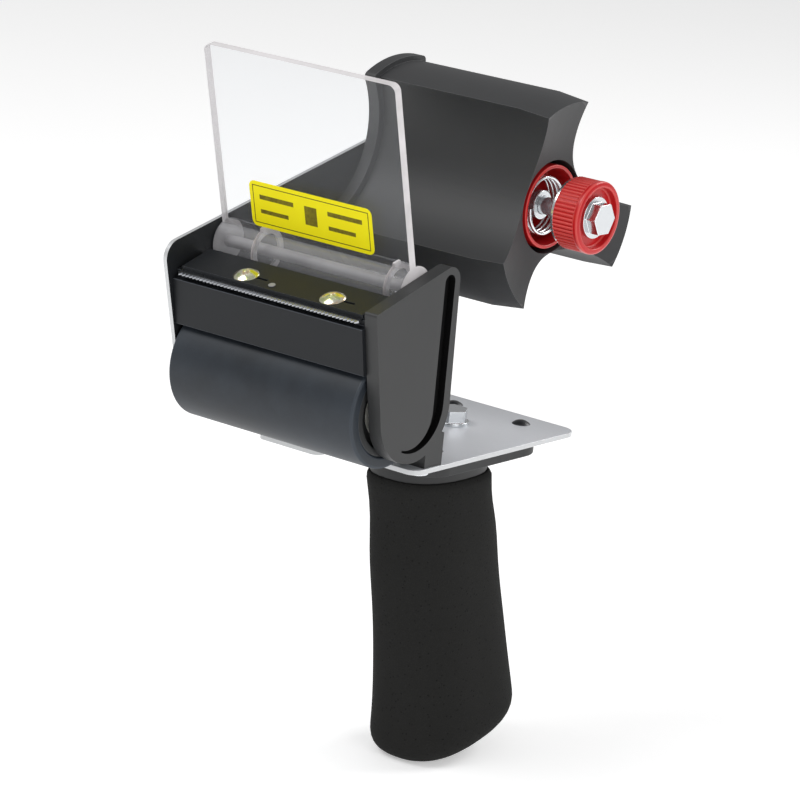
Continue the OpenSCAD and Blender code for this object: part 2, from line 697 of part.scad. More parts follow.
// the wire's rings along a helix about X
spring_sides = 8;
spring_step = 18;
spring_rings = floor(spring_turns * 360 / spring_step);
function coil_ring(i) = let (a = i * spring_step, f = i / spring_rings,
    x = cup_foot + cup_floor + wire_d / 2 + fit + (spring_len - wire_d) * f)
  [for (k = [0 : spring_sides - 1]) let (b = k * 360 / spring_sides,
      r = spring_r + wire_d / 2 * cos(b))
    [x + wire_d / 2 * sin(b), r * cos(a), r * sin(a)]];
module brake_spring() {
  n = spring_sides;
  points = [for (i = [0 : spring_rings]) each coil_ring(i)];
  ends = [[for (k = [0 : n - 1]) k], [for (k = [n - 1 : -1 : 0]) spring_rings * n + k]];
  sides = [for (i = [0 : spring_rings - 1], k = [0 : n - 1]) let (k2 = (k + 1) % n)
    [i * n + k, (i + 1) * n + k, (i + 1) * n + k2, i * n + k2]];
  color([0.75, 0.75, 0.78]) in_head() translate([0, hub_pos[0], hub_pos[1]])
    polyhedron(points = points, faces = concat(ends, sides));
}

// ---- knob ----
rib_r = 0.5;
rib_out = 0.08;        // how far the ribs stay inside the knob's rim
module thrust_washer() {
  color("silver") in_head()
    tube_x(hub_pos, knob_back - washer_t - fit, knob_back - fit, washer_r, bolt_r + fit);
}
module knob() {
  color([0.85, 0.05, 0.08]) in_head() difference() {
    union() {
      bar_x(hub_pos, knob_back, knob_front, knob_r - rib_r);
      bar_x(hub_pos, knob_front - 2.3, knob_front - 0.4, knob_r);
      for (i = [0 : knob_ribs - 1])
        translate([0, hub_pos[0], hub_pos[1]]) rotate([i * 360 / knob_ribs, 0, 0])
          bar_x([knob_r - rib_out - rib_r, 0], knob_back + 0.4, knob_front - 2, rib_r, 16);
    }
    bar_x(hub_pos, knob_front - recess_d, knob_front + 1, recess_r);
    bar_x(hub_pos, knob_back - 1, knob_front, bolt_r);
  }
}
bolt_seat = knob_front - recess_d;
module knob_bolt() {
  color([0.85, 0.86, 0.88]) in_head() {
    bar_x(hub_pos, bolt_tip, bolt_seat + 0.5, bolt_r);
    bar_x(hub_pos, bolt_seat, bolt_seat + head_flange_t, head_flange_r);
    hex_x(hub_pos, bolt_seat + head_flange_t, knob_front + 2.4, hex_af);
  }
}

base_plate();
side_plate();
side_foot_rivets();
plate_rivets_group();  // plate_rivets
grip_head();
foam_grip();
grip_bolts();
right_cover();
cover_screws();
blade_bridge();
bridge_screws_left();
bridge_screws_right();
blade();
blade_clamp();
blade_screws();
blade_nuts();
clamp_pin();
roller_axle();
axle_screw();
roller_sleeve();
roller_core();
roller_bushes();
guard();
guard_label();
guard_rod();
rod_clip();
hub_spindle();
spindle_washer();
spindle_nut();
tape_hub();
hub_bushes();
friction_disc();
brake_cup();
brake_spring();
thrust_washer();
knob();
knob_bolt();
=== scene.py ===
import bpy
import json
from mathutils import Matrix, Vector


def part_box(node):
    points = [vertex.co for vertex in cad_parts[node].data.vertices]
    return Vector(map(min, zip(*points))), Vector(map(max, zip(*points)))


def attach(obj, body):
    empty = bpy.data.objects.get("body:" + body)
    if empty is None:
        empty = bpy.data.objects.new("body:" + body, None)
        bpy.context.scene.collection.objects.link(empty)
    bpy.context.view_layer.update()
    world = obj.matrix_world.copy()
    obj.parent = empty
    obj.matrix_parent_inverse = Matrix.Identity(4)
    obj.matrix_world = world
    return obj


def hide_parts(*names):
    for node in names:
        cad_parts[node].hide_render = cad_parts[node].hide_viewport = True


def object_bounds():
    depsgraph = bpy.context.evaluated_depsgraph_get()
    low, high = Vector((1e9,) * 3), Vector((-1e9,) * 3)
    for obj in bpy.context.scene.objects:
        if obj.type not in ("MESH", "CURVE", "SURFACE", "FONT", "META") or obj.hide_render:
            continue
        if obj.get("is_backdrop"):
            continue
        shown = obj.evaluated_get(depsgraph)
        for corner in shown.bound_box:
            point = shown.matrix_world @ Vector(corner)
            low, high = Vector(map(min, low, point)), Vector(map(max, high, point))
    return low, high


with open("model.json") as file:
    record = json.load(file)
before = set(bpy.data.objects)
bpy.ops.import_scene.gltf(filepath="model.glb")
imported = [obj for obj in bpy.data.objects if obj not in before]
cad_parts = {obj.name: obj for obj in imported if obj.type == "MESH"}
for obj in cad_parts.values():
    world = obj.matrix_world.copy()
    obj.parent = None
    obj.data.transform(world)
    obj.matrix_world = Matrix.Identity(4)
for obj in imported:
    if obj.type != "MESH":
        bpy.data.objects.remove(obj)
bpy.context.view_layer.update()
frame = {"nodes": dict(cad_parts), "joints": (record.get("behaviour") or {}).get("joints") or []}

import json
import math

import bmesh
import bpy
from bpy.props import FloatProperty, FloatVectorProperty, IntProperty
from mathutils import Matrix, Vector, noise

bl_info = {
    "name": "Packing Tape Dispenser",
    "version": (1, 0, 0),
    "blender": (4, 5, 0),
    "location": "3D View > Sidebar > Dispenser",
    "description": "Surfaces, finishes and studio for a pistol-grip packing tape dispenser",
    "category": "Object",
}

MM = 0.001
JOINTS = {joint["name"]: joint for joint in frame["joints"]}
ROLLER_AXIS = Vector(JOINTS["roller_spin"]["pos_m"])
HUB_AXIS = Vector(JOINTS["hub_spin"]["pos_m"])
GUARD_AXIS = Vector(JOINTS["guard_hinge"]["pos_m"])
GRIP_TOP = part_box("foam_grip")[1].z
KNOB_LOW, KNOB_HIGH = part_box("knob")
LABEL_LOW, LABEL_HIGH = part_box("guard_label")
GRIP_SIDES = 72                # points round one section of the foam
FOAM_LUMP = 0.35 * MM          # how far the foam's skin wanders
FOAM_LUMP_SCALE = 45           # lumps for each metre
FLOOR_GAP = 0.2 * MM           # room between the object and the floor
NARROW_FACE = 0.45 * MM        # a face narrower than this can be a rim
RIM_BEND = math.radians(12)    # the least bend of a rim


# ---------------------------------------------------------------- settings

def length(name, about, value):
    """A length in metres that a maker may change."""
    return FloatProperty(name=name, description=about, default=value, subtype="DISTANCE", unit="LENGTH")


def angle(name, about, degrees):
    """An angle that a maker may change."""
    return FloatProperty(name=name, description=about, default=math.radians(degrees),
                         subtype="ANGLE", unit="ROTATION")


def colour(name, about, *rgb):
    """A colour that a maker may change."""
    return FloatVectorProperty(name=name, description=about, default=rgb, size=3,
                               min=0, max=1, subtype="COLOR")


class DispenserSizes(bpy.types.PropertyGroup):
    """Sizes of the pieces that are modelled here."""
    grip_width: length("Grip width", "Width of the foam grip at its top", 34.5 * MM)
    grip_depth: length("Grip depth", "Depth of the foam grip at its top", 48 * MM)
    grip_length: length("Grip length", "Length of the foam grip along its middle line", 102 * MM)
    grip_flare: length("Grip flare", "How much deeper the grip is near its bottom", 11 * MM)
    grip_lip: length("Grip lip", "How far the front lip reaches out at the bottom", 2 * MM)
    grip_lean: angle("Grip lean", "Lean of the grip to the back", 13.6)
    stem_radius: length("Stem radius", "Radius of the stem inside the foam", 11 * MM)
    guard_lean: angle("Guard lean", "Lean of the clear guard to the front", 15.5)
    barrel_radius: length("Barrel radius", "Radius of the guard's barrel", 7.7 * MM)
    blade_slope: angle("Blade slope", "Slope of the plate that carries the blade", 17.6)
    tooth_pitch: length("Tooth pitch", "Distance between two teeth", 1.5 * MM)
    tooth_depth: length("Tooth depth", "Depth of a tooth", 1.3 * MM)
    blade_thickness: length("Blade thickness", "Thickness of the blade", 0.8 * MM)
    knob_ribs: IntProperty(name="Knob ribs", description="Number of ribs round the knob",
                           default=54, min=12, max=60)
    rib_radius: length("Rib radius", "Radius of a rib on the knob", 0.5 * MM)
    wire_radius: length("Wire radius", "Radius of the brake spring's wire", 0.6 * MM)
    spring_radius: length("Spring radius", "Mean radius of the brake spring", 9.6 * MM)
    spring_turns: FloatProperty(name="Spring turns", description="Turns of the brake spring",
                                default=4.25, min=2, max=8)


class DispenserColours(bpy.types.PropertyGroup):
    """Colours of the finishes."""
    zinc: colour("Zinc", "Zinc plate of the base", 0.78, 0.80, 0.84)
    bright: colour("Bright zinc", "Bright zinc of the fixings", 0.66, 0.68, 0.70)
    cut_edge: colour("Cut edge", "Bare cut edge of the plates", 0.62, 0.63, 0.64)
    black_paint: colour("Black paint", "Satin paint of the steel plates", 0.014, 0.0155, 0.018)
    cover: colour("Cover", "Moulded right cover", 0.025, 0.0258, 0.0265)
    hub: colour("Hub", "Moulded tape hub", 0.038, 0.039, 0.041)
    rubber: colour("Rubber", "Ground rubber of the roller", 0.020, 0.025, 0.032)
    foam: colour("Foam", "Closed-cell foam of the grip", 0.012, 0.012, 0.0115)
    red: colour("Red", "Moulded knob and spring cup", 0.55, 0.010, 0.013)
    label: colour("Label", "Printed film of the label", 1.0, 0.86, 0.004)
    print_ink: colour("Print", "Ink of the label's bars", 0.07, 0.05, 0.01)
    blade: colour("Blade", "Ground steel of the blade", 0.34, 0.35, 0.37)
    sheet_edge: colour("Sheet edge", "Cut edge of the clear sheet", 0.80, 0.77, 0.78)


class DispenserStudio(bpy.types.PropertyGroup):
    """Camera and light."""
    azimuth: angle("Azimuth", "Camera's direction round the object", 37.025)
    elevation: angle("Elevation", "Camera's height above the horizon", 14.448)
    roll: angle("Roll", "Camera's turn about its own axis", 5.444)
    distance: length("Distance", "Camera's distance from the roller", 1.2266)
    shift_right: length("Right", "Camera's place right of the roller", 33.629 * MM)
    shift_up: length("Up", "Camera's place above the roller", -5.060 * MM)
    lens: FloatProperty(name="Lens", description="Focal length in millimetres",
                        default=170.13, min=20, max=400)
    floor_colour: colour("Floor", "Colour of the floor", 0.90, 0.90, 0.90)
    key_power: FloatProperty(name="Key light", description="Power of the large soft light",
                             default=14, unit="POWER")
    sky_strength: FloatProperty(name="Sky", description="Strength of the light from all round",
                                default=0.34, min=0)


# ---------------------------------------------------------------- node boards

class Wire:
    """A value in a node tree that takes part in sums as a number does."""

    def __init__(self, board, socket):
        self.board, self.socket = board, socket

    def _math(self, operation, first, second=0.0):
        return self.board.add("ShaderNodeMath", {"operation": operation}, {0: first, 1: second})

    def __add__(self, other): return self._math("ADD", self, other)
    def __radd__(self, other): return self._math("ADD", other, self)
    def __sub__(self, other): return self._math("SUBTRACT", self, other)
    def __rsub__(self, other): return self._math("SUBTRACT", other, self)
    def __mul__(self, other): return self._math("MULTIPLY", self, other)
    def __rmul__(self, other): return self._math("MULTIPLY", other, self)
    def __truediv__(self, other): return self._math("DIVIDE", self, other)
    def __pow__(self, other): return self._math("POWER", self, other)
    def __abs__(self): return self._math("ABSOLUTE", self)
    def __lt__(self, other): return self._math("LESS_THAN", self, other)
    def __gt__(self, other): return self._math("GREATER_THAN", self, other)


class Board:
    """One node tree, laid out by calls."""

    def __init__(self, tree):
        self.tree = tree

    def add(self, kind, settings=None, sockets=None, out=0):
        """Adds a node: its settings first, then what goes into its sockets. Returns the output's wire."""
        node = self.tree.nodes.new(kind)
        for key, value in (settings or {}).items():
            if key == "stops":
                ramp = node.color_ramp
                while len(ramp.elements) < len(value):
                    ramp.elements.new(0.5)
                for stop, (place, rgb) in zip(ramp.elements, value):
                    stop.position, stop.color = place, (*rgb, 1)
            else:
                setattr(node, key, value)
        for key, value in (sockets or {}).items():
            if isinstance(value, Wire):
                self.tree.links.new(value.socket, node.inputs[key])
            else:
                node.inputs[key].default_value = value
        return Wire(self, node.outputs[out])

    def place(self):
        return self.add("ShaderNodeTexCoord", out=3)

    def edge(self):
        """How near a rim or corner the surface is, from 0 to 1."""
        return self.add("ShaderNodeAttribute", {"attribute_name": "edge"}, out=2)

    def grain(self, scale, detail=3.0, rough=0.55, stretch=(1, 1, 1)):
        """Noise from 0 to 1; scale is in features for each metre."""
        at = self.add("ShaderNodeMapping", {}, {"Vector": self.place(), "Scale": stretch})
        return self.add("ShaderNodeTexNoise", {"noise_dimensions": "3D"},
                        {"Vector": at, "Scale": scale, "Detail": detail, "Roughness": rough})

    def cells(self, scale):
        return self.add("ShaderNodeTexVoronoi", {"feature": "F1"}, {"Vector": self.place(), "Scale": scale})

    def tint(self, factor, first, second):
        """A colour between two colours."""
        return self.add("ShaderNodeMix", {"data_type": "RGBA"}, {0: factor, 6: first, 7: second}, out=2)

    def limit(self, value):
        return self.add("ShaderNodeClamp", {}, {0: value})

    def bump(self, height, strength, depth):
        return self.add("ShaderNodeBump", {}, {"Height": height, "Strength": strength, "Distance": depth})

    def surface(self, sockets):
        return self.add("ShaderNodeBsdfPrincipled", {}, sockets)

    def see_through(self, colour, share, body):
        """Lets light straight through, apart from the share that the body takes."""
        air = self.add("ShaderNodeBsdfTransparent", {}, {"Color": (*colour, 1)})
        self.finish(self.add("ShaderNodeMixShader", {}, {0: share, 1: air, 2: body}))

    def glance(self):
        """How slantwise the surface is seen, from 0 to 1."""
        return self.add("ShaderNodeLayerWeight", {}, {"Blend": 0.5}, out=1)

    def finish(self, shader):
        self.tree.links.new(shader.socket, self.tree.nodes["Material Output"].inputs["Surface"])


def rgba(rgb, gain=1.0):
    """A colour with full alpha, made lighter or darker by gain."""
    return (*(min(1.0, c * gain) for c in rgb), 1.0)


def new_board(name):
    material = bpy.data.materials.new(name)
    material.use_nodes = True
    material.node_tree.nodes.remove(material.node_tree.nodes["Principled BSDF"])
    return material, Board(material.node_tree)


# ---------------------------------------------------------------- finishes

def moulded(name, rgb, rough=0.42, grain=2600, height=0.03, wear=1.9, level=0.5, mottle=0.10):
    """Satin moulded plastic or powder paint: fine grain, faint mottling and lighter rims, partly rubbed wear
    and partly painted highlight.
    """
    material, b = new_board(name)
    cloud = b.grain(38, 4)
    fine = b.grain(grain, 2, 0.6)
    # Rims lightened by the factor wear: partly rubbed wear, partly a painted highlight on the rims.
    rub_and_highlight = b.limit(b.edge() * (0.45 + b.grain(900, 3)) * 1.1)
    base = b.tint(cloud, rgba(rgb, 1 - mottle), rgba(rgb, 1 + mottle))
    worn_and_highlit = b.tint(rub_and_highlight, base, rgba(rgb, wear))
    roughness = rough - 0.06 + 0.12 * cloud + 0.05 * fine
    shader = b.surface({
        "Base Color": worn_and_highlit, "Roughness": roughness, "Specular IOR Level": level,
        "Normal": b.bump(fine, height * 4, 0.00012)})
    b.finish(shader)
    return material


def plated(name, rgb, rough=0.24, cloud_scale=55, brush=(1, 1, 1), metallic=1.0):
    """Zinc plate or ground steel: cloudy crystals, fine scratches and brighter rims, which are a painted
    highlight.
    """
    material, b = new_board(name)
    cloud = b.grain(cloud_scale, 5, 0.6)
    scratch = b.grain(700, 3, 0.7, brush)
    base = b.tint(b.limit(0.7 * cloud + 0.3 * scratch), rgba(rgb, 0.90), rgba(rgb, 1.08))
    # Painted highlight: rims and narrow faces made brighter, as glints along the edges.
    bright = b.tint(b.limit(b.edge() * 0.8), base, rgba(rgb, 1.35))
    shader = b.surface({
        "Base Color": bright, "Metallic": metallic,
        "Roughness": rough - 0.05 + 0.10 * cloud + 0.06 * scratch,
        "Normal": b.bump(scratch, 0.10, 0.00003)})
    b.finish(shader)
    return material


def ground_rubber(name, rgb):
    """Roller rubber: blotchy bloom, fine grinding rings and lighter rims, partly wear and partly painted
    highlight.
    """
    material, b = new_board(name)
    bloom = b.grain(24, 5, 0.62)
    rings = b.grain(1500, 2, 0.5, (1, 0.06, 0.06))
    base = b.tint(b.limit((bloom - 0.35) * 2.6), rgba(rgb, 0.80), rgba(rgb, 1.75))
    # Rims lightened: partly wear, partly a painted highlight.
    worn_and_highlit = b.tint(b.limit(b.edge() * 0.5), base, rgba(rgb, 2.2))
    shader = b.surface({
        "Base Color": worn_and_highlit, "Roughness": 0.40 + 0.16 * bloom,
        "Specular IOR Level": 0.36, "Normal": b.bump(rings, 0.18, 0.00005)})
    b.finish(shader)
    return material


def closed_foam(name, rgb):
    """Closed-cell foam: matte skin, fine cells with lighter walls, and a few open pores with painted shade in
    them.
    """
    material, b = new_board(name)
    cell = b.cells(2600)
    pore = b.limit((0.22 - b.cells(520)) * 6)
    soft = b.grain(60, 4)
    base = b.tint(soft, rgba(rgb, 0.80), rgba(rgb, 1.35))
    # The cell walls made lighter, following the same pattern as the bump.
    lighter_cell_walls = b.tint(cell, base, rgba(rgb, 1.5))
    # Painted shade: the pores made darker where they sink.
    dark = b.tint(pore, lighter_cell_walls, rgba(rgb, 0.45))
    shader = b.surface({
        "Base Color": dark, "Roughness": 0.86 + 0.08 * soft, "Specular IOR Level": 0.15,
        "Normal": b.bump(cell - 0.8 * pore, 0.35, 0.00022)})
    b.finish(shader)
    return material


def gloss_plastic(name, rgb):
    """Bright moulded plastic with a soft shine and paler rims, which are a painted highlight."""
    material, b = new_board(name)
    cloud = b.grain(90, 4)
    base = b.tint(cloud, rgba(rgb, 0.90), rgba(rgb, 1.10))
    # Painted highlight: rims tinted a paler red.
    painted_rim_highlight = b.tint(b.limit(b.edge() * 0.35), base, (0.90, 0.16, 0.14, 1))
    shader = b.surface({
        "Base Color": painted_rim_highlight, "Roughness": 0.27 + 0.10 * cloud, "Specular IOR Level": 0.35,
        "Coat Weight": 0.12, "Coat Roughness": 0.15,
        "Normal": b.bump(b.grain(1800, 2), 0.06, 0.00005)})
    b.finish(shader)
    return material


def yellow_zinc(name):
    """Yellow passivated zinc with its drifting green and pink."""
    material, b = new_board(name)
    drift = b.grain(230, 4, 0.6)
    hue = b.add("ShaderNodeValToRGB", {"stops": [
        (0.25, (0.86, 0.79, 0.42)), (0.42, (0.72, 0.80, 0.40)), (0.52, (0.93, 0.90, 0.76)),
        (0.66, (0.90, 0.66, 0.42)), (0.80, (0.82, 0.60, 0.62))]}, {0: drift})
    shader = b.surface({
        "Base Color": hue, "Metallic": 1.0, "Roughness": 0.16 + 0.14 * drift,
        "Normal": b.bump(b.grain(1500, 2), 0.08, 0.00004)})
    b.finish(shader)
    return material


def clear_sheet(name):
    """Polished clear sheet: mostly see-through, with gloss at a glance and faint scuffs."""
    material, b = new_board(name)
    scuff = b.grain(420, 4, 0.7, (1, 0.15, 0.15))
    film = b.surface({
        "Base Color": (0.86, 0.87, 0.90, 1), "Roughness": 0.04 + 0.10 * scuff, "Specular IOR Level": 0.8,
        "Coat Weight": 0.6, "Coat Roughness": 0.03})
    share = b.limit(0.035 + 0.5 * b.glance() ** 4 + 0.05 * (scuff > 0.68))
    b.see_through((0.975, 0.98, 0.985), share, film)
    return material


def frosted_edge(name, rgb):
    """Sawn edge of the clear sheet, which gathers light."""
    material, b = new_board(name)
    drift = b.grain(45, 4, 0.6)
    base = b.tint(b.limit((drift - 0.3) * 2), rgba(rgb, 0.86), rgba(rgb, 1.16))
    body = b.surface({
        "Base Color": base, "Roughness": 0.22 + 0.25 * drift, "Specular IOR Level": 0.7,
        "Normal": b.bump(b.grain(1200, 2), 0.12, 0.00006)})
    b.see_through((1, 1, 1), b.limit(0.62 + 0.5 * drift), body)
    return material


def clear_barrel(name):
    """Solid clear rod: its surroundings show in long bands of light and dark, which are painted reflection
    set by how far the surface faces up.
    """
    material, b = new_board(name)
    normal = b.add("ShaderNodeTexCoord", out=1)
    lift = b.add("ShaderNodeSeparateXYZ", {}, {0: normal}, out=2)
    # Painted reflection: the grey steps of this ramp follow how far the surface faces up.
    painted_reflection_bands = b.add("ShaderNodeValToRGB", {"stops": [
        (0.00, (0.10, 0.10, 0.11)), (0.30, (0.20, 0.20, 0.21)), (0.46, (0.30, 0.30, 0.31)),
        (0.58, (0.09, 0.09, 0.10)), (0.72, (0.13, 0.13, 0.14)), (0.86, (0.42, 0.42, 0.44)),
        (0.94, (0.20, 0.20, 0.21)), (1.00, (0.12, 0.12, 0.13))]}, {0: lift * 0.5 + 0.5})
    scuff = b.grain(120, 3, 0.6, (0.12, 1, 1))
    hazy = b.tint(b.limit(scuff * 0.8 - 0.1), painted_reflection_bands, (0.62, 0.62, 0.64, 1))
    body = b.surface({
        "Base Color": hazy, "Roughness": 0.10 + 0.10 * scuff, "Specular IOR Level": 0.7,
        "Coat Weight": 0.7, "Coat Roughness": 0.04})
    b.see_through((0.93, 0.94, 0.95), b.limit(0.30 + 0.30 * b.glance() ** 2 + 0.15 * scuff), body)
    return material


def printed_label(name, film, ink):
    """Printed film: a thin rule round the border and plain bars, with a little wear."""
    material, b = new_board(name)
    uv = b.add("ShaderNodeUVMap", {"uv_map": "label"})
    across = b.add("ShaderNodeSeparateXYZ", {}, {0: uv}, out=0)
    up = b.add("ShaderNodeSeparateXYZ", {}, {0: uv}, out=1)

    def block(left, right, low, high):
        """1 inside a rectangle of the label, given as shares of its width and height."""
        return ((abs(across - (left + right) / 2) < (right - left) / 2)
                * (abs(up - (low + high) / 2) < (high - low) / 2))

    bars = None
    for left, right, low, high in (
            (0.08, 0.36, 0.62, 0.72), (0.08, 0.31, 0.31, 0.40),
            (0.64, 0.92, 0.62, 0.72), (0.64, 0.86, 0.31, 0.40), (0.45, 0.55, 0.31, 0.72)):
        bar = block(left, right, low, high)
        bars = bar if bars is None else bars + bar
    rule = block(0.025, 0.975, 0.08, 0.92) - block(0.032, 0.968, 0.102, 0.898)
    fade = b.grain(700, 3, 0.6)
    paper = b.tint(b.grain(70, 3), rgba(film, 0.94), rgba(film, 1.05))
    shader = b.surface({
        "Base Color": b.tint(b.limit((bars + rule) * (0.72 + 0.3 * fade)), paper, rgba(ink)),
        "Roughness": 0.42 + 0.10 * fade, "Specular IOR Level": 0.18,
        "Normal": b.bump(b.grain(1500, 2), 0.05, 0.00004)})
    b.finish(shader)
    return material


def felt(name):
    material, b = new_board(name)
    fluff = b.grain(1800, 5, 0.7)
    b.finish(b.surface({
        "Base Color": b.tint(fluff, (0.20, 0.18, 0.15, 1), (0.42, 0.39, 0.34, 1)), "Roughness": 0.9,
        "Sheen Weight": 0.3, "Normal": b.bump(fluff, 0.5, 0.0002)}))
    return material


def studio_floor(name, rgb):
    material, b = new_board(name)
    b.finish(b.surface({
        "Base Color": b.tint(b.grain(3, 3), rgba(rgb, 0.985), rgba(rgb, 1.01)),
        "Roughness": 0.75, "Specular IOR Level": 0.15,
        "Emission Color": (1, 1, 1, 1), "Emission Strength": 0.40}))
    return material


FINISHES = {}


def finish(name):
    """The finish of that name, made when it is first asked for."""
    if name not in FINISHES:
        c = bpy.context.scene.dispenser_colours
        recipe = {
            "zinc_plate": lambda key: plated(key, c.zinc, 0.34, 30, metallic=0.25),
            "cut_edge": lambda key: plated(key, c.cut_edge, 0.30, 90, metallic=0.35),
            "bright_zinc": lambda key: plated(key, c.bright, 0.20, 160),
            "black_oxide": lambda key: moulded(key, c.black_paint, 0.34, 3000, 0.02, 2.6, 0.6),
            "black_paint": lambda key: moulded(key, c.black_paint, 0.38, 2400, 0.04, 3.2, 0.35),
            # Paint of the bridge and clamp: rims lightened fivefold, a painted highlight along the bridge's
            # bent nose.
            "front_paint": lambda key: moulded(key, c.black_paint, 0.40, 2400, 0.03, 5.0, 0.22),
            "cover_plastic": lambda key: moulded(key, c.cover, 0.44, 2600, 0.05, 2.4, 0.5),
            # The cover's colour darkened to about an eighth, as painted shade in the deep channel.
            "channel_plastic": lambda key: moulded(key, [v * 0.12 for v in c.cover], 0.55,
                                                   2600, 0.05, 1.2, 0.2),
            "hub_plastic": lambda key: moulded(key, c.hub, 0.50, 3000, 0.06, 1.8, 0.5),
            "stem_plastic": lambda key: moulded(key, [v * 0.8 for v in c.cover], 0.5, 2600, 0.05, 1.7),
            "core_plastic": lambda key: moulded(key, [v * 1.4 for v in c.cover], 0.5, 2200, 0.05, 1.7),
            "bush_plastic": lambda key: moulded(key, (0.6, 0.6, 0.55), 0.4, 2200, 0.03, 1.1),
            "pin_plastic": lambda key: moulded(key, (0.32, 0.32, 0.32), 0.35, 2200, 0.02, 1.05),
            "roller_rubber": lambda key: ground_rubber(key, c.rubber),
            "foam": lambda key: closed_foam(key, c.foam),
            "red_plastic": lambda key: gloss_plastic(key, c.red),
            "yellow_zinc": lambda key: yellow_zinc(key),
            "blade_steel": lambda key: plated(key, c.blade, 0.24, 200, (0.05, 1, 1)),
            "clear_sheet": lambda key: clear_sheet(key),
            "sheet_edge": lambda key: frosted_edge(key, c.sheet_edge),
            "clear_barrel": lambda key: clear_barrel(key),
            "label": lambda key: printed_label(key, c.label, c.print_ink),
            "felt": lambda key: felt(key),
        }[name]
        FINISHES[name] = recipe(name)
    return FINISHES[name]


# ---------------------------------------------------------------- shaping

def mesh_of(bm, name):
    """A new mesh from a bmesh, which is then let go."""
    mesh = bpy.data.meshes.new(name)
    bm.to_mesh(mesh)
    bm.free()
    return mesh


def put(name, data):
    """A new object in the scene."""
    thing = bpy.data.objects.new(name, data)
    bpy.context.scene.collection.objects.link(thing)
    return thing


def evaluated(thing):
    """The mesh that an object's modifiers make."""
    graph = bpy.context.evaluated_depsgraph_get()
    graph.update()
    return bpy.data.meshes.new_from_object(thing.evaluated_get(graph), depsgraph=graph)


def cad_copy(node):
    """A welded copy of a CAD node's mesh, with its flat faces joined up."""
    bm = bmesh.new()
    bm.from_mesh(frame["nodes"][node].data)
    bmesh.ops.remove_doubles(bm, verts=bm.verts, dist=0.00001)
    bmesh.ops.dissolve_degenerate(bm, edges=bm.edges, dist=0.000005)
    bmesh.ops.dissolve_limit(bm, angle_limit=math.radians(1.0), verts=bm.verts, edges=bm.edges)
    return bm


def soften(bm, width, chosen=None, steps=2, sharpest=28):
    """Rounds the sharp edges that are chosen by that width."""
    edges = [e for e in bm.edges if len(e.link_faces) == 2 and e.calc_face_angle(0) > math.radians(sharpest)
             and (chosen is None or chosen(e))]
    if edges:
        bmesh.ops.bevel(bm, geom=edges, offset=width, offset_type="OFFSET", segments=steps, profile=0.5,
                        affect="EDGES", clamp_overlap=True)


def middle(edge):
    return (edge.verts[0].co + edge.verts[1].co) / 2


def run_across(edge):
    """How far an edge runs along X."""
    return abs(edge.verts[0].co.x - edge.verts[1].co.x)


def mark_edges(mesh):
    """Marks the narrow faces that turn a corner, for the finishes' wear and painted rim highlights."""
    normals = [p.normal.copy() for p in mesh.polygons]
    around, rim = {}, [1e-9] * len(mesh.polygons)
    for polygon in mesh.polygons:
        for key in polygon.edge_keys:
            around.setdefault(key, []).append(polygon.index)
            rim[polygon.index] += (mesh.vertices[key[0]].co - mesh.vertices[key[1]].co).length
    bent = set()
    for (a, b), faces in around.items():
        if len(faces) == 2 and normals[faces[0]].angle(normals[faces[1]], 0.0) > RIM_BEND:
            side = (mesh.vertices[a].co - mesh.vertices[b].co).length
            bent.update(face for face in faces if side > 0.2 * rim[face])
    worn_and_highlit = [1.0 if p.index in bent and 2 * p.area / rim[p.index] < NARROW_FACE else 0.0
            for p in mesh.polygons]
    store = mesh.attributes.new("edge", "FLOAT", "FACE")
    store.data.foreach_set("value", worn_and_highlit)


def to_piece(bm, name, finishes, body, nodes, choose=None, smooth=38):
    """Turns a bmesh into a finished piece on its body, with its finishes and the CAD nodes it stands for."""
    return dress(mesh_of(bm, name), name, finishes, body, nodes, choose, smooth)


def dress(mesh, name, finishes, body, nodes, choose=None, smooth=38):
    """Gives a mesh its name, finishes, rim marks for wear and painted highlight, body and CAD nodes."""
    mesh.name = name
    mesh.materials.clear()
    for key in finishes:
        mesh.materials.append(finish(key))
    if choose:
        for polygon in mesh.polygons:
            polygon.material_index = choose(polygon, [mesh.vertices[v].co for v in polygon.vertices])
    for polygon in mesh.polygons:
        polygon.use_smooth = True
    mesh.set_sharp_from_angle(angle=math.radians(smooth))
    mark_edges(mesh)
    piece = put(name, mesh)
    weight = piece.modifiers.new("weight", "WEIGHTED_NORMAL")
    weight.keep_sharp = True
    piece = plain(piece, name)
    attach(piece, body)
    if nodes:
        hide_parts(*nodes)
    return piece


def plain(piece, name):
    """The same piece with its modifiers applied."""
    mesh = evaluated(piece)
    old = piece.data
    piece.modifiers.clear()
    piece.data = mesh
    bpy.data.meshes.remove(old)
    mesh.name = name
    return piece


def from_cad(node, finishes, body, width=0.25 * MM, steps=2, choose=None, name=None, chosen=None):
    """A CAD node with its sharp edges rounded and its finish on."""
    bm = cad_copy(node)
    soften(bm, width, chosen, steps)
    return to_piece(bm, name or node + "_shown", finishes, body, [node], choose)


def fixings(width, *nodes):
    """Bright zinc fixings of the root, with their edges rounded by that width."""
    for node in nodes:
        from_cad(node, ["bright_zinc"], "root", width)


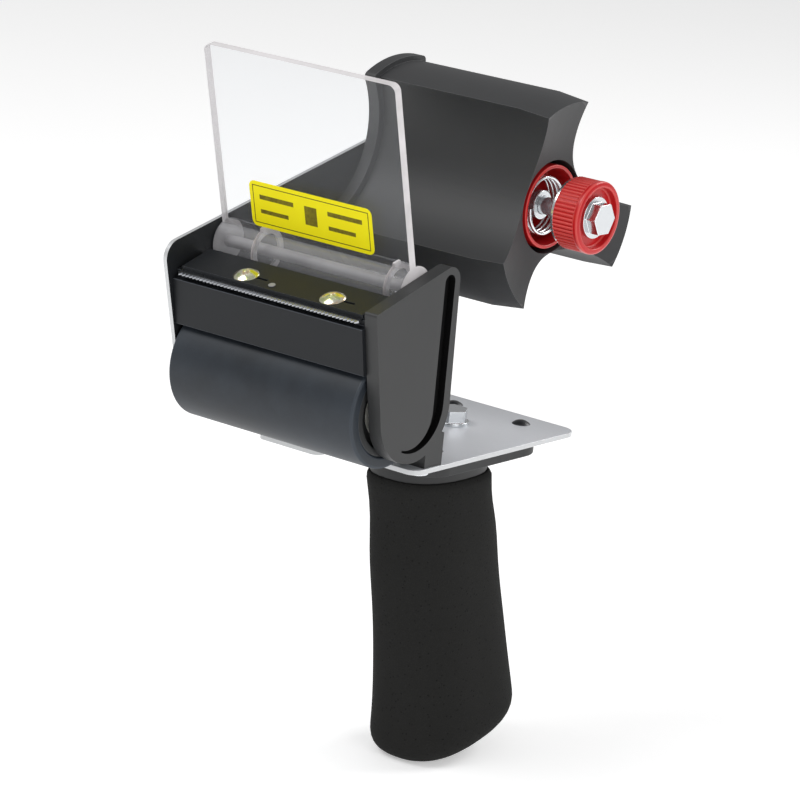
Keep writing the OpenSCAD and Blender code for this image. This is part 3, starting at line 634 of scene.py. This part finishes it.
def turned(bm, outline, axis, steps=96, closed=False):
    """Turns an outline of (x, radius) points about the X axis through a point."""
    rings = []
    for x, r in outline:
        if r < 1e-7:
            rings.append([bm.verts.new((x, axis.y, axis.z))])
        else:
            turns = [2 * math.pi * k / steps for k in range(steps)]
            rings.append([bm.verts.new((x, axis.y + r * math.cos(a), axis.z + r * math.sin(a)))
                          for a in turns])
    pairs = list(zip(rings, rings[1:])) + ([(rings[-1], rings[0])] if closed else [])
    for one, two in pairs:
        for k in range(steps):
            j = (k + 1) % steps
            corners = [one[k % len(one)], one[j % len(one)], two[j % len(two)], two[k % len(two)]]
            unique = list(dict.fromkeys(corners))
            if len(unique) > 2:
                bm.faces.new(unique)
    bmesh.ops.recalc_face_normals(bm, faces=bm.faces)
    return bm


def rounded(points, radius, steps=4):
    """An outline of (x, r) points with its inner corners rounded."""
    out = [points[0]]
    for before, here, after in zip(points, points[1:], points[2:]):
        a, h, c = Vector(before), Vector(here), Vector(after)
        reach = min(radius, (a - h).length * 0.45, (c - h).length * 0.45)
        start, end = h + (a - h).normalized() * reach, h + (c - h).normalized() * reach
        for k in range(steps + 1):
            t = k / steps
            out.append(tuple((1 - t) ** 2 * start + 2 * t * (1 - t) * h + t * t * end))
    return out + [points[-1]]


# ---------------------------------------------------------------- geometry trees

def geometry_tree(name, sockets):
    """An empty Geometry Nodes tree with named inputs, and its board, input and output."""
    tree = bpy.data.node_groups.new(name, "GeometryNodeTree")
    tree.interface.new_socket("Geometry", in_out="INPUT", socket_type="NodeSocketGeometry")
    for label, kind in sockets:
        tree.interface.new_socket(label, in_out="INPUT", socket_type=kind)
    tree.interface.new_socket("Geometry", in_out="OUTPUT", socket_type="NodeSocketGeometry")
    board = Board(tree)
    source = tree.nodes.new("NodeGroupInput")
    inputs = {s.name: Wire(board, s) for s in source.outputs if s.name}
    return tree, board, inputs


def close_tree(board, geometry, material):
    """Ends a tree with Realize Instances and Set Material."""
    real = board.add("GeometryNodeRealizeInstances", {}, {0: geometry})
    painted = board.add("GeometryNodeSetMaterial", {}, {"Geometry": real, "Material": material})
    end = board.tree.nodes.new("NodeGroupOutput")
    board.tree.links.new(painted.socket, end.inputs[0])


def grow(mesh, tree, values):
    """Runs a geometry tree on a mesh and returns the plain mesh that comes out."""
    holder = put("holder", mesh)
    modifier = holder.modifiers.new("tree", "NODES")
    modifier.node_group = tree
    for item in tree.interface.items_tree:
        if item.item_type == "SOCKET" and item.in_out == "INPUT" and item.name in values:
            modifier[item.identifier] = values[item.name]
    made = evaluated(holder)
    bpy.data.objects.remove(holder)
    return made


def ring_tree(material):
    """Repeats its input round the X axis through a centre."""
    tree, b, i = geometry_tree("ring_of_ribs", [("Count", "NodeSocketInt"), ("Centre", "NodeSocketVector")])
    line = b.add("GeometryNodeMeshLine", {}, {
        "Count": i["Count"], "Start Location": i["Centre"], "Offset": (0, 0, 0)})
    index = b.add("GeometryNodeInputIndex")
    turn = b.add("ShaderNodeCombineXYZ", {}, {0: index * (2 * math.pi) / i["Count"]})
    copies = b.add("GeometryNodeInstanceOnPoints", {}, {
        "Points": line, "Instance": i["Geometry"],
        "Rotation": b.add("FunctionNodeEulerToRotation", {}, {0: turn})})
    close_tree(b, copies, material)
    return tree


def row_tree(material):
    """Repeats its input in a straight row."""
    tree, b, i = geometry_tree("row_of_teeth", [
        ("Count", "NodeSocketInt"), ("Start", "NodeSocketVector"), ("Step", "NodeSocketVector")])
    line = b.add("GeometryNodeMeshLine", {}, {
        "Count": i["Count"], "Start Location": i["Start"], "Offset": i["Step"]})
    copies = b.add("GeometryNodeInstanceOnPoints", {}, {"Points": line, "Instance": i["Geometry"]})
    close_tree(b, copies, material)
    return tree


def coil_tree(material):
    """A coil of round wire along X."""
    tree, b, i = geometry_tree("wire_coil", [
        ("Turns", "NodeSocketFloat"), ("Radius", "NodeSocketFloat"), ("Length", "NodeSocketFloat"),
        ("Wire", "NodeSocketFloat"), ("Centre", "NodeSocketVector")])
    path = b.add("GeometryNodeCurveSpiral", {}, {
        "Resolution": 48, "Rotations": i["Turns"], "Start Radius": i["Radius"], "End Radius": i["Radius"],
        "Height": i["Length"]})
    ring = b.add("GeometryNodeCurvePrimitiveCircle", {}, {"Resolution": 12, "Radius": i["Wire"]})
    wire = b.add("GeometryNodeCurveToMesh", {}, {"Curve": path, "Profile Curve": ring, "Fill Caps": True})
    laid = b.add("GeometryNodeTransform", {}, {
        "Geometry": wire, "Translation": i["Centre"], "Rotation": (0, math.pi / 2, 0)})
    close_tree(b, laid, material)
    return tree


def spot_tree(material):
    """Puts its input at each of four places, as far as Count goes."""
    names = ["Place 1", "Place 2", "Place 3", "Place 4"]
    sockets = [("Count", "NodeSocketInt")] + [(n, "NodeSocketVector") for n in names]
    tree, b, i = geometry_tree("set_of_heads", sockets)
    index = b.add("GeometryNodeInputIndex")
    line = b.add("GeometryNodeMeshLine", {}, {"Count": i["Count"], "Offset": (0, 0, 0)})
    spot = b.add("GeometryNodeIndexSwitch", {"data_type": "VECTOR"}, {})
    switch = spot.socket.node
    while len(switch.index_switch_items) < len(names):
        switch.index_switch_items.new()
    b.tree.links.new(index.socket, switch.inputs["Index"])
    for k, label in enumerate(names):
        b.tree.links.new(i[label].socket, switch.inputs[1 + k])
    points = b.add("GeometryNodeSetPosition", {}, {"Geometry": line, "Position": spot})
    copies = b.add("GeometryNodeInstanceOnPoints", {}, {"Points": points, "Instance": i["Geometry"]})
    close_tree(b, copies, material)
    return tree


def islands(node):
    """The boxes of a CAD node's separate solids, as (low, high) corners, left to right and front to back."""
    bm = bmesh.new()
    bm.from_mesh(frame["nodes"][node].data)
    bmesh.ops.remove_doubles(bm, verts=bm.verts, dist=0.00001)
    seen, found = set(), []
    for start in bm.verts:
        if start in seen:
            continue
        group, queue = [], [start]
        seen.add(start)
        while queue:
            v = queue.pop()
            group.append(v.co.copy())
            for e in v.link_edges:
                w = e.other_vert(v)
                if w not in seen:
                    seen.add(w)
                    queue.append(w)
        found.append((Vector([min(c[k] for c in group) for k in range(3)]),
                      Vector([max(c[k] for c in group) for k in range(3)])))
    bm.free()
    return sorted(found, key=lambda pair: (round(pair[0].x, 4), round(pair[0].y, 4)))


def upright(profile, steps=40):
    """A mesh turned about the Z axis from (radius, z) points."""
    bm = bmesh.new()
    turned(bm, [(z, r) for r, z in profile], Vector((0, 0, 0)), steps)
    bmesh.ops.transform(bm, matrix=Matrix.Rotation(-math.pi / 2, 4, "Y"), verts=bm.verts)
    bmesh.ops.recalc_face_normals(bm, faces=bm.faces)
    return mesh_of(bm, "turned")


def rivet_set(node, name, key, head_r, head_h, shank_r):
    """The rivets of a CAD node, each with a domed head and its shank."""
    solids = islands(node)
    low, high = solids[0]
    ball = (head_r ** 2 + head_h ** 2) / (2 * head_h)
    dome = [(ball * math.sin(a), high.z - ball + ball * math.cos(a))
            for a in (math.asin(head_r / ball) * k / 9 for k in range(10))]
    brim = high.z - head_h
    profile = [(0, dome[0][1])] + dome[1:] + [
        (head_r - 0.1 * MM, brim), (shank_r, brim), (shank_r, low.z), (0, low.z)]
    tree = spot_tree(finish(key))
    values = {"Count": len(solids)}
    for k, (a, c) in enumerate(solids):
        values["Place %d" % (k + 1)] = ((a.x + c.x) / 2, (a.y + c.y) / 2, 0)
    mesh = grow(upright(profile), tree, values)
    return dress(mesh, name, [key], "root", [node])


# ---------------------------------------------------------------- pieces

def make_plates():
    """Base plate and side plate with their bright cut edges, and the rivets."""
    from_cad("base_plate", ["zinc_plate", "cut_edge"], "root", 0.3 * MM, 3,
             lambda p, points: 0 if abs(p.normal.z) > 0.8 else 1)
    foot_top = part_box("side_foot_rivets")[1].z
    from_cad("side_plate", ["black_paint", "cut_edge"], "root", 0.2 * MM, 2,
             lambda p, points: 0 if abs(p.normal.x) > 0.8 or p.center.z < foot_top else 1)
    rivet_set("plate_rivets", "plate_rivet_heads", "black_oxide", 3.2 * MM, 1.4 * MM, 2 * MM)
    fixings(0.2 * MM, "side_foot_rivets")


def grip_ring(t, s):
    """One section of the foam at the share t of its length, as points round the grip."""
    flare = max(t, 0.0) ** 3
    waist = 1 - 0.035 * math.exp(-((t - 0.12) / 0.10) ** 2)
    end = math.sqrt(max(0.0, 1 - max(0.0, (t - 0.90) / 0.10) ** 2.4)) if t > 0.90 else 1.0
    half_d = (s.grip_depth / 2 + s.grip_flare / 2 * flare) * waist
    half_w = (s.grip_width / 2 + s.grip_flare / 4 * flare) * waist
    shrink = 0.62 + 0.38 * end
    lean = s.grip_lean * min(1.0, max(0.0, t) / 0.25)
    centre = Vector((0, s.grip_length * t * math.sin(s.grip_lean) - s.grip_lip * max(t, 0) ** 8,
                     -s.grip_length * t * math.cos(s.grip_lean)))
    ring = []
    for k in range(GRIP_SIDES):
        a = 2 * math.pi * k / GRIP_SIDES
        c, d = math.cos(a), math.sin(a)
        x = half_w * shrink * math.copysign(abs(c) ** 0.8, c)
        y = half_d * shrink * math.copysign(abs(d) ** 0.8, d)
        ring.append(centre + Vector((x, y * math.cos(lean), y * math.sin(lean))))
    return ring


def make_grip():
    """Foam grip with its rounded ends, the plastic head above it and the flange bolts."""
    s = bpy.context.scene.dispenser_sizes
    bm = bmesh.new()
    shares = [0.0, 0.004, 0.012, 0.025] + [0.05 + 0.05 * k for k in range(17)] + [
        0.90, 0.92, 0.94, 0.955, 0.968, 0.98, 0.99, 0.996, 1.0]
    rings = []
    for t in shares:
        ring = grip_ring(t, s)
        tuck = 1.2 * MM * (1 - min(1.0, t / 0.025)) ** 2
        pulled = []
        for p in ring:
            out = Vector((p.x, p.y, 0)).normalized() * tuck
            pulled.append(bm.verts.new(p - out))
        rings.append(pulled)
    deep = 0.82 * s.grip_length
    down = Vector((0, math.sin(s.grip_lean), -math.cos(s.grip_lean)))
    side = Vector((0, math.cos(s.grip_lean), math.sin(s.grip_lean)))
    bore = []
    for depth in (0.0, deep):
        ring = []
        for k in range(GRIP_SIDES):
            a = 2 * math.pi * k / GRIP_SIDES
            p = (Vector((s.stem_radius * math.cos(a), 0, 0)) + side * s.stem_radius * math.sin(a)
                 + down * depth)
            if depth == 0.0:
                p = p - down * (p.z / down.z)
            ring.append(bm.verts.new(p))
        bore.append(ring)
    order = [bore[1], bore[0]] + rings
    for one, two in zip(order, order[1:]):
        for k in range(GRIP_SIDES):
            j = (k + 1) % GRIP_SIDES
            bm.faces.new((one[k], one[j], two[j], two[k]))
    for ring in (rings[-1], bore[1]):
        centre = bm.verts.new(sum((v.co for v in ring), Vector()) / GRIP_SIDES)
        if ring is rings[-1]:
            centre.co.z -= 1.0 * MM
        for k in range(GRIP_SIDES):
            bm.faces.new((ring[k], ring[(k + 1) % GRIP_SIDES], centre))
    bmesh.ops.recalc_face_normals(bm, faces=bm.faces)
    for ring in rings[3:]:
        for v in ring:
            n = noise.noise(v.co * FOAM_LUMP_SCALE) * FOAM_LUMP
            v.co += Vector((v.co.x, v.co.y - 0.2 * v.co.z, 0)).normalized() * n
    grip = dress(mesh_of(bm, "foam"), "foam_sleeve", ["foam"], "root", ["foam_grip"], smooth=70)
    from_cad("grip_head", ["stem_plastic"], "root", 0.9 * MM, 4,
             chosen=lambda e: middle(e).z > GRIP_TOP + 2 * MM)
    fixings(0.35 * MM, "grip_bolts")


def make_cover():
    """Right cover with its rounded rim and deep channel."""
    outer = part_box("right_cover")[1].x

    def rim(e):
        """The outline's edges on the outer face, and not the channel's."""
        faces = [f for f in e.link_faces if abs(f.normal.x) < 0.3]
        return all(abs(v.co.x - outer) < 1e-5 for v in e.verts) and bool(faces) and (
            faces[0].calc_center_median().x < outer - 2.2 * MM)

    bm = cad_copy("right_cover")
    soften(bm, 1.3 * MM, rim, 5)
    soften(bm, 0.25 * MM, lambda e: not rim(e) and middle(e).x > outer - 3.2 * MM, 2, 40)

    def part(p, points):
        """The channel's floor and walls, which take a much darker finish as painted shade."""
        deepest = min(v.x for v in points)
        return 1 if outer - 2.9 * MM < deepest < outer - 2.2 * MM else 0

    to_piece(bm, "right_cover_shown", ["cover_plastic", "channel_plastic"], "root",
             ["right_cover"], part)
    fixings(0.2 * MM, "cover_screws")


def make_blade():
    """Blade bridge, toothed blade, clamp and their screws."""
    s = bpy.context.scene.dispenser_sizes
    bridge = cad_copy("blade_bridge")
    soften(bridge, 0.7 * MM, lambda e: run_across(e) > 40 * MM, 4)
    soften(bridge, 0.15 * MM, lambda e: run_across(e) < 5 * MM, 2, 60)
    to_piece(bridge, "blade_bridge_shown", ["front_paint"], "root", ["blade_bridge"])
    from_cad("blade_clamp", ["front_paint"], "root", 0.3 * MM, 3)

    slope = Matrix.Rotation(s.blade_slope, 4, "X")
    back = slope.inverted()
    flat = [back @ v.co for v in frame["nodes"]["blade"].data.vertices]
    low = Vector([min(c[k] for c in flat) for k in range(3)])
    high = Vector([max(c[k] for c in flat) for k in range(3)])
    root_y = low.y + s.tooth_depth
    count = round((high.x - low.x) / s.tooth_pitch)
    tooth = bmesh.new()
    tip, pitch, t = low.y, s.tooth_pitch, s.blade_thickness
    outline = [(0, root_y + 0.3 * MM), (0, root_y), (pitch * 0.5, tip),
               (pitch * 0.5 + 0.05 * MM, tip), (pitch, root_y), (pitch, root_y + 0.3 * MM)]
    lower = [tooth.verts.new((x, y, low.z + (0.25 * MM if y < root_y - 1e-6 else 0))) for x, y in outline]
    upper = [tooth.verts.new((x, y, low.z + t - (0.1 * MM if y < root_y - 1e-6 else 0))) for x, y in outline]
    tooth.faces.new(lower[::-1])
    tooth.faces.new(upper)
    for k in range(len(outline)):
        j = (k + 1) % len(outline)
        tooth.faces.new((lower[k], lower[j], upper[j], upper[k]))
    bmesh.ops.triangulate(tooth, faces=tooth.faces)
    bmesh.ops.recalc_face_normals(tooth, faces=tooth.faces)
    teeth = grow(mesh_of(tooth, "tooth"), row_tree(finish("blade_steel")), {
        "Count": count, "Start": (low.x, 0, 0), "Step": (pitch, 0, 0)})
    bm = bmesh.new()
    bm.from_mesh(teeth)
    strip = bmesh.ops.create_cube(bm, size=1)["verts"]
    size = Vector((high.x - low.x, high.y - root_y - 0.3 * MM, t))
    for v in strip:
        v.co = Vector((v.co.x * size.x, v.co.y * size.y, v.co.z * size.z)) + Vector(
            ((low.x + high.x) / 2, (high.y + root_y + 0.3 * MM) / 2, low.z + t / 2))
    bmesh.ops.transform(bm, matrix=slope, verts=bm.verts)
    to_piece(bm, "toothed_blade", ["blade_steel"], "root", ["blade"], smooth=20)

    from_cad("blade_screws", ["yellow_zinc"], "root", 0.12 * MM, 2)
    fixings(0.2 * MM, "blade_nuts")
    from_cad("clamp_pin", ["pin_plastic"], "root", 0.1 * MM)
    fixings(0.2 * MM, "bridge_screws_left", "bridge_screws_right")


def make_roller():
    """Rubber roller on its core and axle."""
    low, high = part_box("roller_sleeve")
    r = (high.z - low.z) / 2
    inner = r - 4 * MM
    bm = bmesh.new()
    outline = rounded([(low.x, inner), (low.x, r), (high.x, r), (high.x, inner), (low.x, inner)], 0.9 * MM, 5)
    turned(bm, outline[:-1], ROLLER_AXIS, 128, closed=True)
    to_piece(bm, "rubber_sleeve", ["roller_rubber"], "roller", ["roller_sleeve"])
    from_cad("roller_core", ["core_plastic"], "roller", 0.3 * MM)
    from_cad("roller_bushes", ["bush_plastic"], "roller", 0.2 * MM)
    fixings(0.3 * MM, "roller_axle", "axle_screw")


def make_guard():
    """Clear guard with frosted edges, its label, rod and clip."""
    s = bpy.context.scene.dispenser_sizes
    face = Vector((0, math.cos(s.guard_lean), math.sin(s.guard_lean)))
    middle_axis = Vector((0, GUARD_AXIS.y, GUARD_AXIS.z))

    def part(p, points):
        """The sheet's faces, its cut edges, or the barrel's round face."""
        reach = [(Vector((0, v.y, v.z)) - middle_axis).length for v in points]
        if max(reach) < s.barrel_radius + 0.4 * MM:
            return 2 if min(reach) > s.barrel_radius - 0.4 * MM and abs(p.normal.x) < 0.7 else 1
        return 0 if abs(p.normal.dot(face)) > 0.9 else 1

    bm = cad_copy("guard")
    soften(bm, 0.3 * MM, lambda e: abs(middle(e).x - GUARD_AXIS.x) > 35 * MM
           or middle(e).z > GUARD_AXIS.z + 40 * MM, 3)
    to_piece(bm, "clear_guard", ["clear_sheet", "sheet_edge", "clear_barrel"], "guard",
             ["guard"], part)

    mesh = mesh_of(cad_copy("guard_label"), "label")
    up = Vector((0, -math.sin(s.guard_lean), math.cos(s.guard_lean)))
    rises = [v.co.dot(up) for v in mesh.vertices]
    foot, top = min(rises), max(rises)
    sheet = mesh.uv_layers.new(name="label")
    for loop in mesh.loops:
        p = mesh.vertices[loop.vertex_index].co
        sheet.data[loop.index].uv = ((p.x - LABEL_LOW.x) / (LABEL_HIGH.x - LABEL_LOW.x),
                                     (p.dot(up) - foot) / (top - foot))
    dress(mesh, "plain_label", ["label"], "guard", ["guard_label"])
    fixings(0.2 * MM, "guard_rod")
    from_cad("rod_clip", ["black_oxide"], "root", 0.15 * MM)


def make_hub():
    """Lobed tape hub with its bushes and felt disc, and the spindle."""
    bm = cad_copy("tape_hub")
    low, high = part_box("tape_hub")
    lip = (high.z - low.z) / 2 - 0.6 * MM

    def lip_corner(e):
        """The corners of the far lip, which run along the hub."""
        reach = min(math.hypot(v.co.y - HUB_AXIS.y, v.co.z - HUB_AXIS.z) for v in e.verts)
        return reach > lip and middle(e).x < low.x + 6 * MM and run_across(e) > 3 * MM

    soften(bm, 2.4 * MM, lip_corner, 5, 24)
    soften(bm, 0.6 * MM, None, 3, 24)
    to_piece(bm, "lobed_hub", ["hub_plastic"], "hub", ["tape_hub"], smooth=30)
    from_cad("hub_bushes", ["bush_plastic"], "hub", 0.2 * MM)
    from_cad("friction_disc", ["felt"], "hub", 0.2 * MM)
    fixings(0.3 * MM, "hub_spindle", "spindle_washer", "spindle_nut")


def make_brake():
    """Red spring cup and the coil spring in it."""
    s = bpy.context.scene.dispenser_sizes
    from_cad("brake_cup", ["red_plastic"], "root", 0.35 * MM, 3)
    low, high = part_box("brake_spring")
    start = low.x + s.wire_radius
    coil = grow(bpy.data.meshes.new("seed"), coil_tree(finish("bright_zinc")), {
        "Turns": s.spring_turns, "Radius": s.spring_radius, "Length": high.x - low.x - 2 * s.wire_radius,
        "Wire": s.wire_radius, "Centre": (start, HUB_AXIS.y, HUB_AXIS.z)})
    dress(coil, "coil_spring", ["bright_zinc"], "root", ["brake_spring"], smooth=60)


def make_knob():
    """Ribbed knob with its recess, flange bolt and thrust washer."""
    s = bpy.context.scene.dispenser_sizes
    back, front = KNOB_LOW.x, KNOB_HIGH.x
    r = (KNOB_HIGH.z - KNOB_LOW.z) / 2
    body_r, recess_r, recess_d, bolt_r = r - s.rib_radius, 10.1 * MM, 2.6 * MM, 3 * MM
    outline = rounded([
        (back, bolt_r), (back, body_r - 0.4 * MM), (back + 0.4 * MM, body_r), (front - 2.3 * MM, body_r),
        (front - 2.0 * MM, r), (front - 0.5 * MM, r), (front, r - 0.9 * MM), (front, recess_r + 0.3 * MM),
        (front - recess_d, recess_r), (front - recess_d, bolt_r), (back, bolt_r)], 0.45 * MM, 4)
    bm = bmesh.new()
    turned(bm, outline[:-1], HUB_AXIS, 144, closed=True)

    rib = bmesh.new()
    ends = (back + 0.4 * MM, front - 1.9 * MM)
    rib_axis = Vector((0, r - s.rib_radius - 0.08 * MM, 0))
    profile = [(ends[0], 0), (ends[0], s.rib_radius * 0.7), (ends[0] + 0.2 * MM, s.rib_radius),
               (ends[1], s.rib_radius), (ends[1], 0)]
    turned(rib, profile, rib_axis, 12)
    ribs = grow(mesh_of(rib, "rib"), ring_tree(finish("red_plastic")), {
        "Count": s.knob_ribs, "Centre": (0, HUB_AXIS.y, HUB_AXIS.z)})
    bm.from_mesh(ribs)
    to_piece(bm, "ribbed_knob", ["red_plastic"], "knob", ["knob"], smooth=42)
    from_cad("knob_bolt", ["bright_zinc"], "knob", 0.45 * MM, 3,
             chosen=lambda e: middle(e).x > front - recess_d)
    from_cad("thrust_washer", ["bright_zinc"], "thrust_washer", 0.15 * MM)


def soft_light(name, power, size, place, target, rgb=(1, 1, 1)):
    lamp = bpy.data.lights.new(name, "AREA")
    lamp.energy, lamp.size, lamp.color = power, size, rgb
    light = put(name, lamp)
    light.location = place
    light.rotation_euler = (Vector(target) - Vector(place)).to_track_quat("-Z", "Y").to_euler()


def make_studio():
    """Pale floor, soft lights and the camera."""
    s = bpy.context.scene.dispenser_studio
    a, e, r = s.azimuth, s.elevation, s.roll
    back = Vector((math.sin(a) * math.cos(e), -math.cos(a) * math.cos(e), math.sin(e)))
    level = Vector((math.cos(a), math.sin(a), 0))
    rise = back.cross(level)
    right = math.cos(r) * level + math.sin(r) * rise
    up = back.cross(right)
    camera = put("camera", bpy.data.cameras.new("camera"))
    camera.data.lens, camera.data.sensor_width = s.lens, 36
    place = ROLLER_AXIS + back * s.distance + right * s.shift_right + up * s.shift_up
    turn = Matrix((right, up, back)).transposed().to_4x4()
    camera.matrix_world = Matrix.Translation(place) @ turn
    bpy.context.scene.camera = camera

    bm = bmesh.new()
    bmesh.ops.create_grid(bm, x_segments=2, y_segments=2, size=6)
    mesh = mesh_of(bm, "floor")
    mesh.transform(Matrix.Translation((0, 0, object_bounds()[0].z - FLOOR_GAP)))
    mesh.materials.append(studio_floor("studio_floor", s.floor_colour))
    floor = put("floor", mesh)
    floor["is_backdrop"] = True

    target = (0, 0, 0.05)
    soft_light("key", s.key_power, 0.9, (-0.5, -0.9, 1.4), target)
    soft_light("fill", s.key_power * 0.35, 0.8, (1.3, -0.5, 0.5), target)
    soft_light("rim", s.key_power * 0.7, 0.7, (0.5, 1.2, 1.0), target)
    world = bpy.data.worlds.new("studio")
    world.use_nodes = True
    sky = world.node_tree.nodes["Background"]
    sky.inputs["Color"].default_value = (1, 1, 1, 1)
    b = Board(world.node_tree)
    seen = b.add("ShaderNodeLightPath")
    world.node_tree.links.new((s.sky_strength + (1 - s.sky_strength) * seen).socket, sky.inputs["Strength"])
    bpy.context.scene.world = world
    bpy.context.scene.view_settings.view_transform = "Standard"


# ---------------------------------------------------------------- operators

class MakesPiece:
    """An operator that runs its own make function."""

    def execute(self, context):
        self.make()
        return {"FINISHED"}


class DISPENSER_OT_plates(MakesPiece, bpy.types.Operator):
    """Make the base plate, the side plate and their rivets"""
    bl_idname = "dispenser.plates"
    bl_label = "Plates"
    make = staticmethod(make_plates)


class DISPENSER_OT_grip(MakesPiece, bpy.types.Operator):
    """Make the foam grip, its head and its bolts"""
    bl_idname = "dispenser.grip"
    bl_label = "Grip"
    make = staticmethod(make_grip)


class DISPENSER_OT_cover(MakesPiece, bpy.types.Operator):
    """Make the right cover and its screws"""
    bl_idname = "dispenser.cover"
    bl_label = "Cover"
    make = staticmethod(make_cover)


class DISPENSER_OT_blade(MakesPiece, bpy.types.Operator):
    """Make the blade bridge, the toothed blade, the clamp and their screws"""
    bl_idname = "dispenser.blade"
    bl_label = "Blade"
    make = staticmethod(make_blade)


class DISPENSER_OT_roller(MakesPiece, bpy.types.Operator):
    """Make the rubber roller, its core and its axle"""
    bl_idname = "dispenser.roller"
    bl_label = "Roller"
    make = staticmethod(make_roller)


class DISPENSER_OT_guard(MakesPiece, bpy.types.Operator):
    """Make the clear guard, its label and its rod"""
    bl_idname = "dispenser.guard"
    bl_label = "Guard"
    make = staticmethod(make_guard)


class DISPENSER_OT_hub(MakesPiece, bpy.types.Operator):
    """Make the tape hub and its spindle"""
    bl_idname = "dispenser.hub"
    bl_label = "Hub"
    make = staticmethod(make_hub)


class DISPENSER_OT_brake(MakesPiece, bpy.types.Operator):
    """Make the spring cup and the brake spring"""
    bl_idname = "dispenser.brake"
    bl_label = "Brake"
    make = staticmethod(make_brake)


class DISPENSER_OT_knob(MakesPiece, bpy.types.Operator):
    """Make the ribbed knob, its bolt and its washer"""
    bl_idname = "dispenser.knob"
    bl_label = "Knob"
    make = staticmethod(make_knob)


class DISPENSER_OT_studio(MakesPiece, bpy.types.Operator):
    """Make the floor, the lights and the camera"""
    bl_idname = "dispenser.studio"
    bl_label = "Studio"
    make = staticmethod(make_studio)


OPERATORS = MakesPiece.__subclasses__()


class DISPENSER_PT_panel(bpy.types.Panel):
    """Settings and pieces of the dispenser"""
    bl_label = "Tape Dispenser"
    bl_idname = "DISPENSER_PT_panel"
    bl_space_type = "VIEW_3D"
    bl_region_type = "UI"
    bl_category = "Dispenser"

    def draw(self, context):
        for group in GROUPS:
            settings = getattr(context.scene, group)
            box = self.layout.box()
            for key in settings.__annotations__:
                box.prop(settings, key)
        for operator in OPERATORS:
            self.layout.operator(operator.bl_idname)


GROUPS = {"dispenser_sizes": DispenserSizes, "dispenser_colours": DispenserColours,
          "dispenser_studio": DispenserStudio}
CLASSES = (*GROUPS.values(), *OPERATORS, DISPENSER_PT_panel)


def register():
    for cls in CLASSES:
        bpy.utils.register_class(cls)
    for name, group in GROUPS.items():
        setattr(bpy.types.Scene, name, bpy.props.PointerProperty(type=group))


def unregister():
    for name in GROUPS:
        delattr(bpy.types.Scene, name)
    for cls in reversed(CLASSES):
        bpy.utils.unregister_class(cls)


def main():
    register()
    for operator in OPERATORS:
        group, name = operator.bl_idname.split(".")
        result = getattr(getattr(bpy.ops, group), name)()
        if result != {"FINISHED"}:
            raise RuntimeError(operator.bl_idname + " did not finish")


if __name__ == "__main__":
    main()
